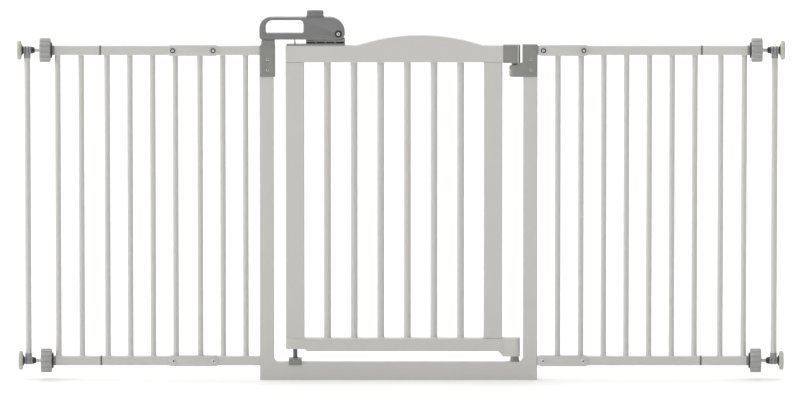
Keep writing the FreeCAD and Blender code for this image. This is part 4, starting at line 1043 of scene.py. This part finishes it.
def bearing_strip(name, node, radius, angles, levels):
    """Pale strip on a face round the hinge line, between two angles from the front: a painted highlight where
    the rounded face catches the side light.
    """
    hinge_x = middle_of(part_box("lower_hinge_pin")).x
    first, last = [math.radians(angle) for angle in angles]
    strip = block(name, (-1, -1, levels[0]), (1, 1, levels[1]))
    for vertex in strip.data.vertices:
        angle = first if vertex.co.x < 0 else last
        reach = radius + (STRIP_PROUD if vertex.co.y < 0 else -STRIP_DEPTH)
        vertex.co.x = hinge_x + reach * math.sin(angle)
        vertex.co.y = -reach * math.cos(angle)
    return install(ease(outward(strip), width_mm=0.15), node, stands_for=False, slot="white_plastic")


def end_plugs():
    """Grey collars in the rail ends, each with a black thrust disc."""
    plugs = refine("rail_end_plugs", "rail_end_caps", width_mm=0.35, material=finish_for("grey_plastic"))
    plugs.data.materials.append(finish_for("black_plastic"))
    disc_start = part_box("rail_end_plugs")[1].x - THRUST_DISC
    for face in plugs.data.polygons:
        if abs(face.center.x) > disc_start:
            face.material_index = 1
    return plugs


def base_windows():
    """Black sheets at the backs of the blind windows in the handle's base: painted shade inside the windows.
    """
    low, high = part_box("handle_base")
    backs = []
    for y in (-WINDOW_BACK, WINDOW_BACK):
        for k in range(WINDOWS):
            right = high.x - WINDOW_END - k * WINDOW_PITCH
            backs.append(block("window", (right - WINDOW_WIDTH, y - WINDOW_SKIN, low.z + WINDOW_LOW),
                               (right, y + WINDOW_SKIN, low.z + WINDOW_HIGH)))
    return install(join("base_window_painted_shade", backs), "handle_base", stands_for=False, slot="black_plastic")


def pin_ends(name, place, reach, profile, sides):
    """Small disc in both ends of a pin across the handle, its profile in mm going inwards."""
    ends = []
    for y in reach:
        inward = (0, -math.copysign(1, y), 0)
        ends.append(turned("end", (place.x, y, place.z), inward, steps(profile), sides))
    return join(name, ends)


def pivot_sockets():
    """Black hexagon on each end of the pivot pin: painted shade of a drive socket."""
    low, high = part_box("handle_pins")
    sockets = pin_ends("pivot_pin_socket_shade", middle_of(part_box("pivot_washers")),
                       (low.y - PIVOT_PROUD, high.y + PIVOT_PROUD), PIVOT_SOCKET_STEPS, sides=6)
    return install(sockets, "handle_pins", stands_for=False, slot="black_plastic")


def link_pin_caps():
    """Moulded caps over the ends of the link pin."""
    low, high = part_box("handle_shell")
    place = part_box("handle_pins")[0] + Vector((LINK_PIN_RADIUS, 0, LINK_PIN_RADIUS))
    caps = pin_ends("link_pin_caps", place, (low.y - LINK_CAP_PROUD, high.y + LINK_CAP_PROUD),
                    LINK_CAP_STEPS, sides=24)
    return install(caps, "handle_shell", stands_for=False)


def button_collar():
    """Black collar round the release button, on top of the handle: painted shadow along the gap at the
    button's base.
    """
    low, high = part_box("release_button")
    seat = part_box("handle_shell")[1].z
    collar = block("collar", (low.x + COLLAR_INSET, low.y + COLLAR_INSET, seat - COLLAR_SUNK),
                   (high.x - COLLAR_INSET, high.y - COLLAR_INSET, seat + COLLAR_HEIGHT))
    bore_x = BUTTON_LIP + COLLAR_GAP_X
    bore_y = BUTTON_LIP + COLLAR_GAP_Y
    cut(collar, block("bore", (low.x + bore_x, low.y + bore_y, seat - COLLAR_HEIGHT),
                      (high.x - bore_x, high.y - bore_y, seat + 2 * COLLAR_HEIGHT)))
    return install(ease(collar, width_mm=0.3), "handle_shell", stands_for=False, slot="black_plastic")


def release_button():
    """Release button with a crowned top and grip ribs."""
    node = "release_button"
    low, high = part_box(node)
    centre = middle_of((low, high))
    inset = Vector((BUTTON_LIP + BUTTON_TAPER, BUTTON_LIP, 0))
    head = block("button_head", (low.x + inset.x, low.y + inset.y, high.z - BUTTON_DEPTH),
                 high - inset - Vector((0, 0, BUTTON_CROWN)))
    ease(head, width_mm=2.8, segments=4, angle=SOFT_ANGLE)
    base = low.z + FLANGE_LIFT
    flange = block("button_flange", (low.x, low.y, base), (high.x, high.y, base + FLANGE_THICKNESS))
    spigot = turned("button_spigot", (centre.x, centre.y, low.z), (0, 0, 1), steps(SPIGOT_STEPS), sides=24)
    pieces = [head, ease(flange, width_mm=0.3), spigot]
    count = sizes().button_ribs
    for k in range(count):
        x = centre.x + (k - (count - 1) / 2) * RIB_PITCH
        rib = block("rib", (x - RIB_HALF_WIDTH, centre.y - RIB_HALF_LENGTH, high.z - RIB_DEPTH),
                    (x + RIB_HALF_WIDTH, centre.y + RIB_HALF_LENGTH, high.z))
        pieces.append(ease(rib, width_mm=0.6, segments=3, angle=SOFT_ANGLE))
    # The black collar paints the shadow line at the button's base.
    button_collar()
    return install(join("release_button_ribbed", pieces), node)


def squeezed_spring(node, name):
    """Coil spring copied from its node and shaded smooth, with a mesh of its own."""
    spring = install(smooth(copied(node, name), SOFT_ANGLE), node)
    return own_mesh(spring)


# ------------------------------------------------------------------ operators
class GATE_OT_tubes(bpy.types.Operator):
    """Coats every tube and adds the weld beads"""

    bl_idname = "gate.tubes"
    bl_label = "Coat tubes"

    def execute(self, context):
        for node in WHITE_TUBES:
            wear_finish(frame["nodes"][node], finish_for("white_paint"))
        bar_welds(["main_bars", "left_extension_bars", "right_extension_bars", "end_bars"],
                  "side_panel_welds")
        bar_welds(["door_bars"], "door_bar_welds")
        corner_welds()
        return {"FINISHED"}


class GATE_OT_joints(bpy.types.Operator):
    """Adds the joint channels, their screws, the rail joiners and the end plugs"""

    bl_idname = "gate.joints"
    bl_label = "Build rail joints"

    def execute(self, context):
        refine("joint_plates", "joint_channels", sizes().sheet_ease)
        joint_screws()
        fit("rail_joiners")
        end_plugs()
        return {"FINISHED"}


class GATE_OT_tension_sets(bpy.types.Operator):
    """Builds the wheels, nuts, bolts, stems, clips and wall pads at the four corners"""

    bl_idname = "gate.tension_sets"
    bl_label = "Build tension sets"

    def execute(self, context):
        for side in SIGNS:
            for level in LEVELS:
                tension_wheel(side, level)
                refine(f"{side}_{level}_nut", f"{side}_{level}_insert_nut", width_mm=0.3)
            tension_bolts(side)
            pad_stems(side)
            wall_pads(side)
            refine(f"{side}_rod_clips", f"{side}_ring_clips", width_mm=0.5, segments=3,
                   material=made(clip_nylon))
            clip_bands(side)
        return {"FINISHED"}


class GATE_OT_brackets(bpy.types.Operator):
    """Builds the post brackets, the striker and the lower hinge bearing"""

    bl_idname = "gate.brackets"
    bl_label = "Build brackets"

    def execute(self, context):
        refine("latch_catch_bracket", "latch_catch_cap", sizes().edge_ease, 3)
        refine("hinge_bracket", "hinge_cap", sizes().edge_ease, 3)
        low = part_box("hinge_bracket")[0].z
        # Pale strip that paints the highlight down the rounded end of the ledge.
        bearing_strip("ledge_highlight_strip", "hinge_bracket", LEDGE_RADIUS, LEDGE_ANGLES,
                      (low + LEDGE_LOW, low + LEDGE_HIGH))
        bracket_screws()
        fit("latch_saddle", "lower_hinge_socket", "lower_hinge_pin")
        return {"FINISHED"}


class GATE_OT_door(bpy.types.Operator):
    """Finishes the door's moulded corners, hinge blocks and spring seat"""

    bl_idname = "gate.door"
    bl_label = "Build door fittings"

    def execute(self, context):
        fit("latch_foot")
        refine("upper_hinge_block", "upper_hinge_knuckle", sizes().edge_ease, 3)
        low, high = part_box("upper_hinge_block")
        # Pale strip that paints the highlight down the rounded knuckle.
        bearing_strip("knuckle_highlight_strip", "upper_hinge_block", high.y, KNUCKLE_ANGLES,
                      (low.z + KNUCKLE_GAP, high.z - KNUCKLE_GAP))
        fit("lower_hinge_block", "upper_hinge_pin", "spring_seat")
        return {"FINISHED"}


class GATE_OT_handle(bpy.types.Operator):
    """Builds the lift handle, its base, pins, tongue and release button"""

    bl_idname = "gate.handle"
    bl_label = "Build handle"

    def execute(self, context):
        refine("handle_base", "handle_base_frame", width_mm=0.35, material=finish_for("grey_plastic"))
        fit("handle_base_screws")
        refine("handle_shell", "lift_handle", sizes().edge_ease)
        fit("latch_tongue", "handle_pins")
        refine("pivot_washers", "pivot_rings", width_mm=0.25, material=finish_for("black_plastic"))
        # Black sheets that paint the shade inside the base's windows.
        base_windows()
        pivot_sockets()
        link_pin_caps()
        release_button()
        squeezed_spring("button_spring", "button_coil_spring")
        return {"FINISHED"}


class GATE_OT_latch_rod(bpy.types.Operator):
    """Finishes the pull rod, the latch pin and their spring"""

    bl_idname = "gate.latch_rod"
    bl_label = "Build latch rod"

    def execute(self, context):
        fit("pull_rod", "latch_pin")
        squeezed_spring("latch_spring", "latch_coil_spring")
        return {"FINISHED"}


class GATE_OT_stage(bpy.types.Operator):
    """Sets the floor, the studio light and the camera"""

    bl_idname = "gate.stage"
    bl_label = "Set stage"

    def execute(self, context):
        floor()
        studio_light()
        studio_camera()
        return {"FINISHED"}


def floor():
    """Wide pale floor under the gate."""
    deselect()
    bpy.ops.mesh.primitive_plane_add(size=FLOOR_SIZE, location=(0, 0, cad_box[0].z))
    ground = added("studio_floor")
    wear_finish(ground, pale_studio_floor())


def lobe(tree, axis, power, gain):
    """Strength that grows towards one direction of the tent."""
    facing = add_node(tree, "ShaderNodeMath", {"operation": "MAXIMUM", 1: 0.0}, {0: axis})
    steep = add_node(tree, "ShaderNodeMath", {"operation": "POWER", 1: power}, {0: facing.outputs[0]})
    scaled_up = add_node(tree, "ShaderNodeMath", {"operation": "MULTIPLY", 1: gain}, {0: steep.outputs[0]})
    return scaled_up.outputs[0]


def studio_light():
    """White tent: bright overhead, a soft key from the left and a lit backdrop, dim towards the camera."""
    scene = bpy.context.scene
    scene.view_settings.view_transform = "Standard"
    world = bpy.data.worlds.new("studio_tent")
    scene.world = world
    world.use_nodes = True
    tree = world.node_tree
    place = add_node(tree, "ShaderNodeTexCoord")
    split = add_node(tree, "ShaderNodeSeparateXYZ", links={"Vector": place.outputs["Generated"]})
    leftward = add_node(tree, "ShaderNodeMath", {"operation": "MULTIPLY", 1: -1.0}, {0: split.outputs["X"]})
    lobes = (lobe(tree, split.outputs["Z"], OVERHEAD_POWER, OVERHEAD_GAIN),
             lobe(tree, leftward.outputs[0], LEFT_POWER, LEFT_GAIN),
             lobe(tree, split.outputs["Y"], BACK_POWER, BACK_GAIN))
    total = add_node(tree, "ShaderNodeValue").outputs[0]
    total.default_value = HORIZON_LEVEL
    for part in lobes:
        total = add_node(tree, "ShaderNodeMath", {"operation": "ADD"}, {0: total, 1: part}).outputs[0]
    seen = add_node(tree, "ShaderNodeLightPath")
    strength = add_node(tree, "ShaderNodeMix", {"data_type": "FLOAT", 3: BACKDROP_LEVEL},
                        {0: seen.outputs["Is Camera Ray"], 2: total})
    background = tree.nodes["Background"]
    background.inputs["Color"].default_value = linear("#FFFFFF")
    tree.links.new(strength.outputs[0], background.inputs["Strength"])


def studio_camera():
    """Long lens, level with no roll, a little above the gate."""
    low, high = cad_box
    data = bpy.data.cameras.new("studio_camera")
    data.sensor_width = SENSOR_WIDTH
    data.lens = SENSOR_WIDTH * CAMERA_DISTANCE * CAMERA_FILL / (high.x - low.x)
    data.clip_end = CLIP_END
    camera = bpy.data.objects.new("studio_camera", data)
    aim = Vector((AIM_RIGHT, 0, (low.z + high.z) / 2 - AIM_DOWN))
    back = Vector((0, -math.cos(CAMERA_ELEVATION), math.sin(CAMERA_ELEVATION)))
    camera.location = aim + back * CAMERA_DISTANCE
    camera.rotation_euler = (-back).to_track_quat("-Z", "Y").to_euler()
    bpy.context.scene.collection.objects.link(camera)
    bpy.context.scene.camera = camera


class GATE_PT_panel(bpy.types.Panel):
    """Buttons for every group of pieces"""

    bl_label = "Safety gate"
    bl_idname = "GATE_PT_panel"
    bl_space_type = "VIEW_3D"
    bl_region_type = "UI"
    bl_category = "Safety gate"

    def draw(self, context):
        for group in (context.scene.gate_sizes, context.scene.gate_colours):
            for name in group.__annotations__:
                self.layout.prop(group, name)
        for operator in PIECE_OPERATORS:
            self.layout.operator(operator.bl_idname)


PIECE_OPERATORS = (GATE_OT_tubes, GATE_OT_joints, GATE_OT_tension_sets, GATE_OT_brackets, GATE_OT_door,
                   GATE_OT_handle, GATE_OT_latch_rod, GATE_OT_stage)
CLASSES = (GateSizes, GateColours) + PIECE_OPERATORS + (GATE_PT_panel,)


def register():
    """Makes the settings, operators and panel known to Blender."""
    for item in CLASSES:
        bpy.utils.register_class(item)
    bpy.types.Scene.gate_sizes = bpy.props.PointerProperty(type=GateSizes)
    bpy.types.Scene.gate_colours = bpy.props.PointerProperty(type=GateColours)


def unregister():
    """Removes what register added."""
    del bpy.types.Scene.gate_colours
    del bpy.types.Scene.gate_sizes
    for item in reversed(CLASSES):
        bpy.utils.unregister_class(item)


def main():
    register()
    for operator in PIECE_OPERATORS:
        group, name = operator.bl_idname.split(".")
        getattr(getattr(bpy.ops, group), name)()


if __name__ == "__main__":
    main()
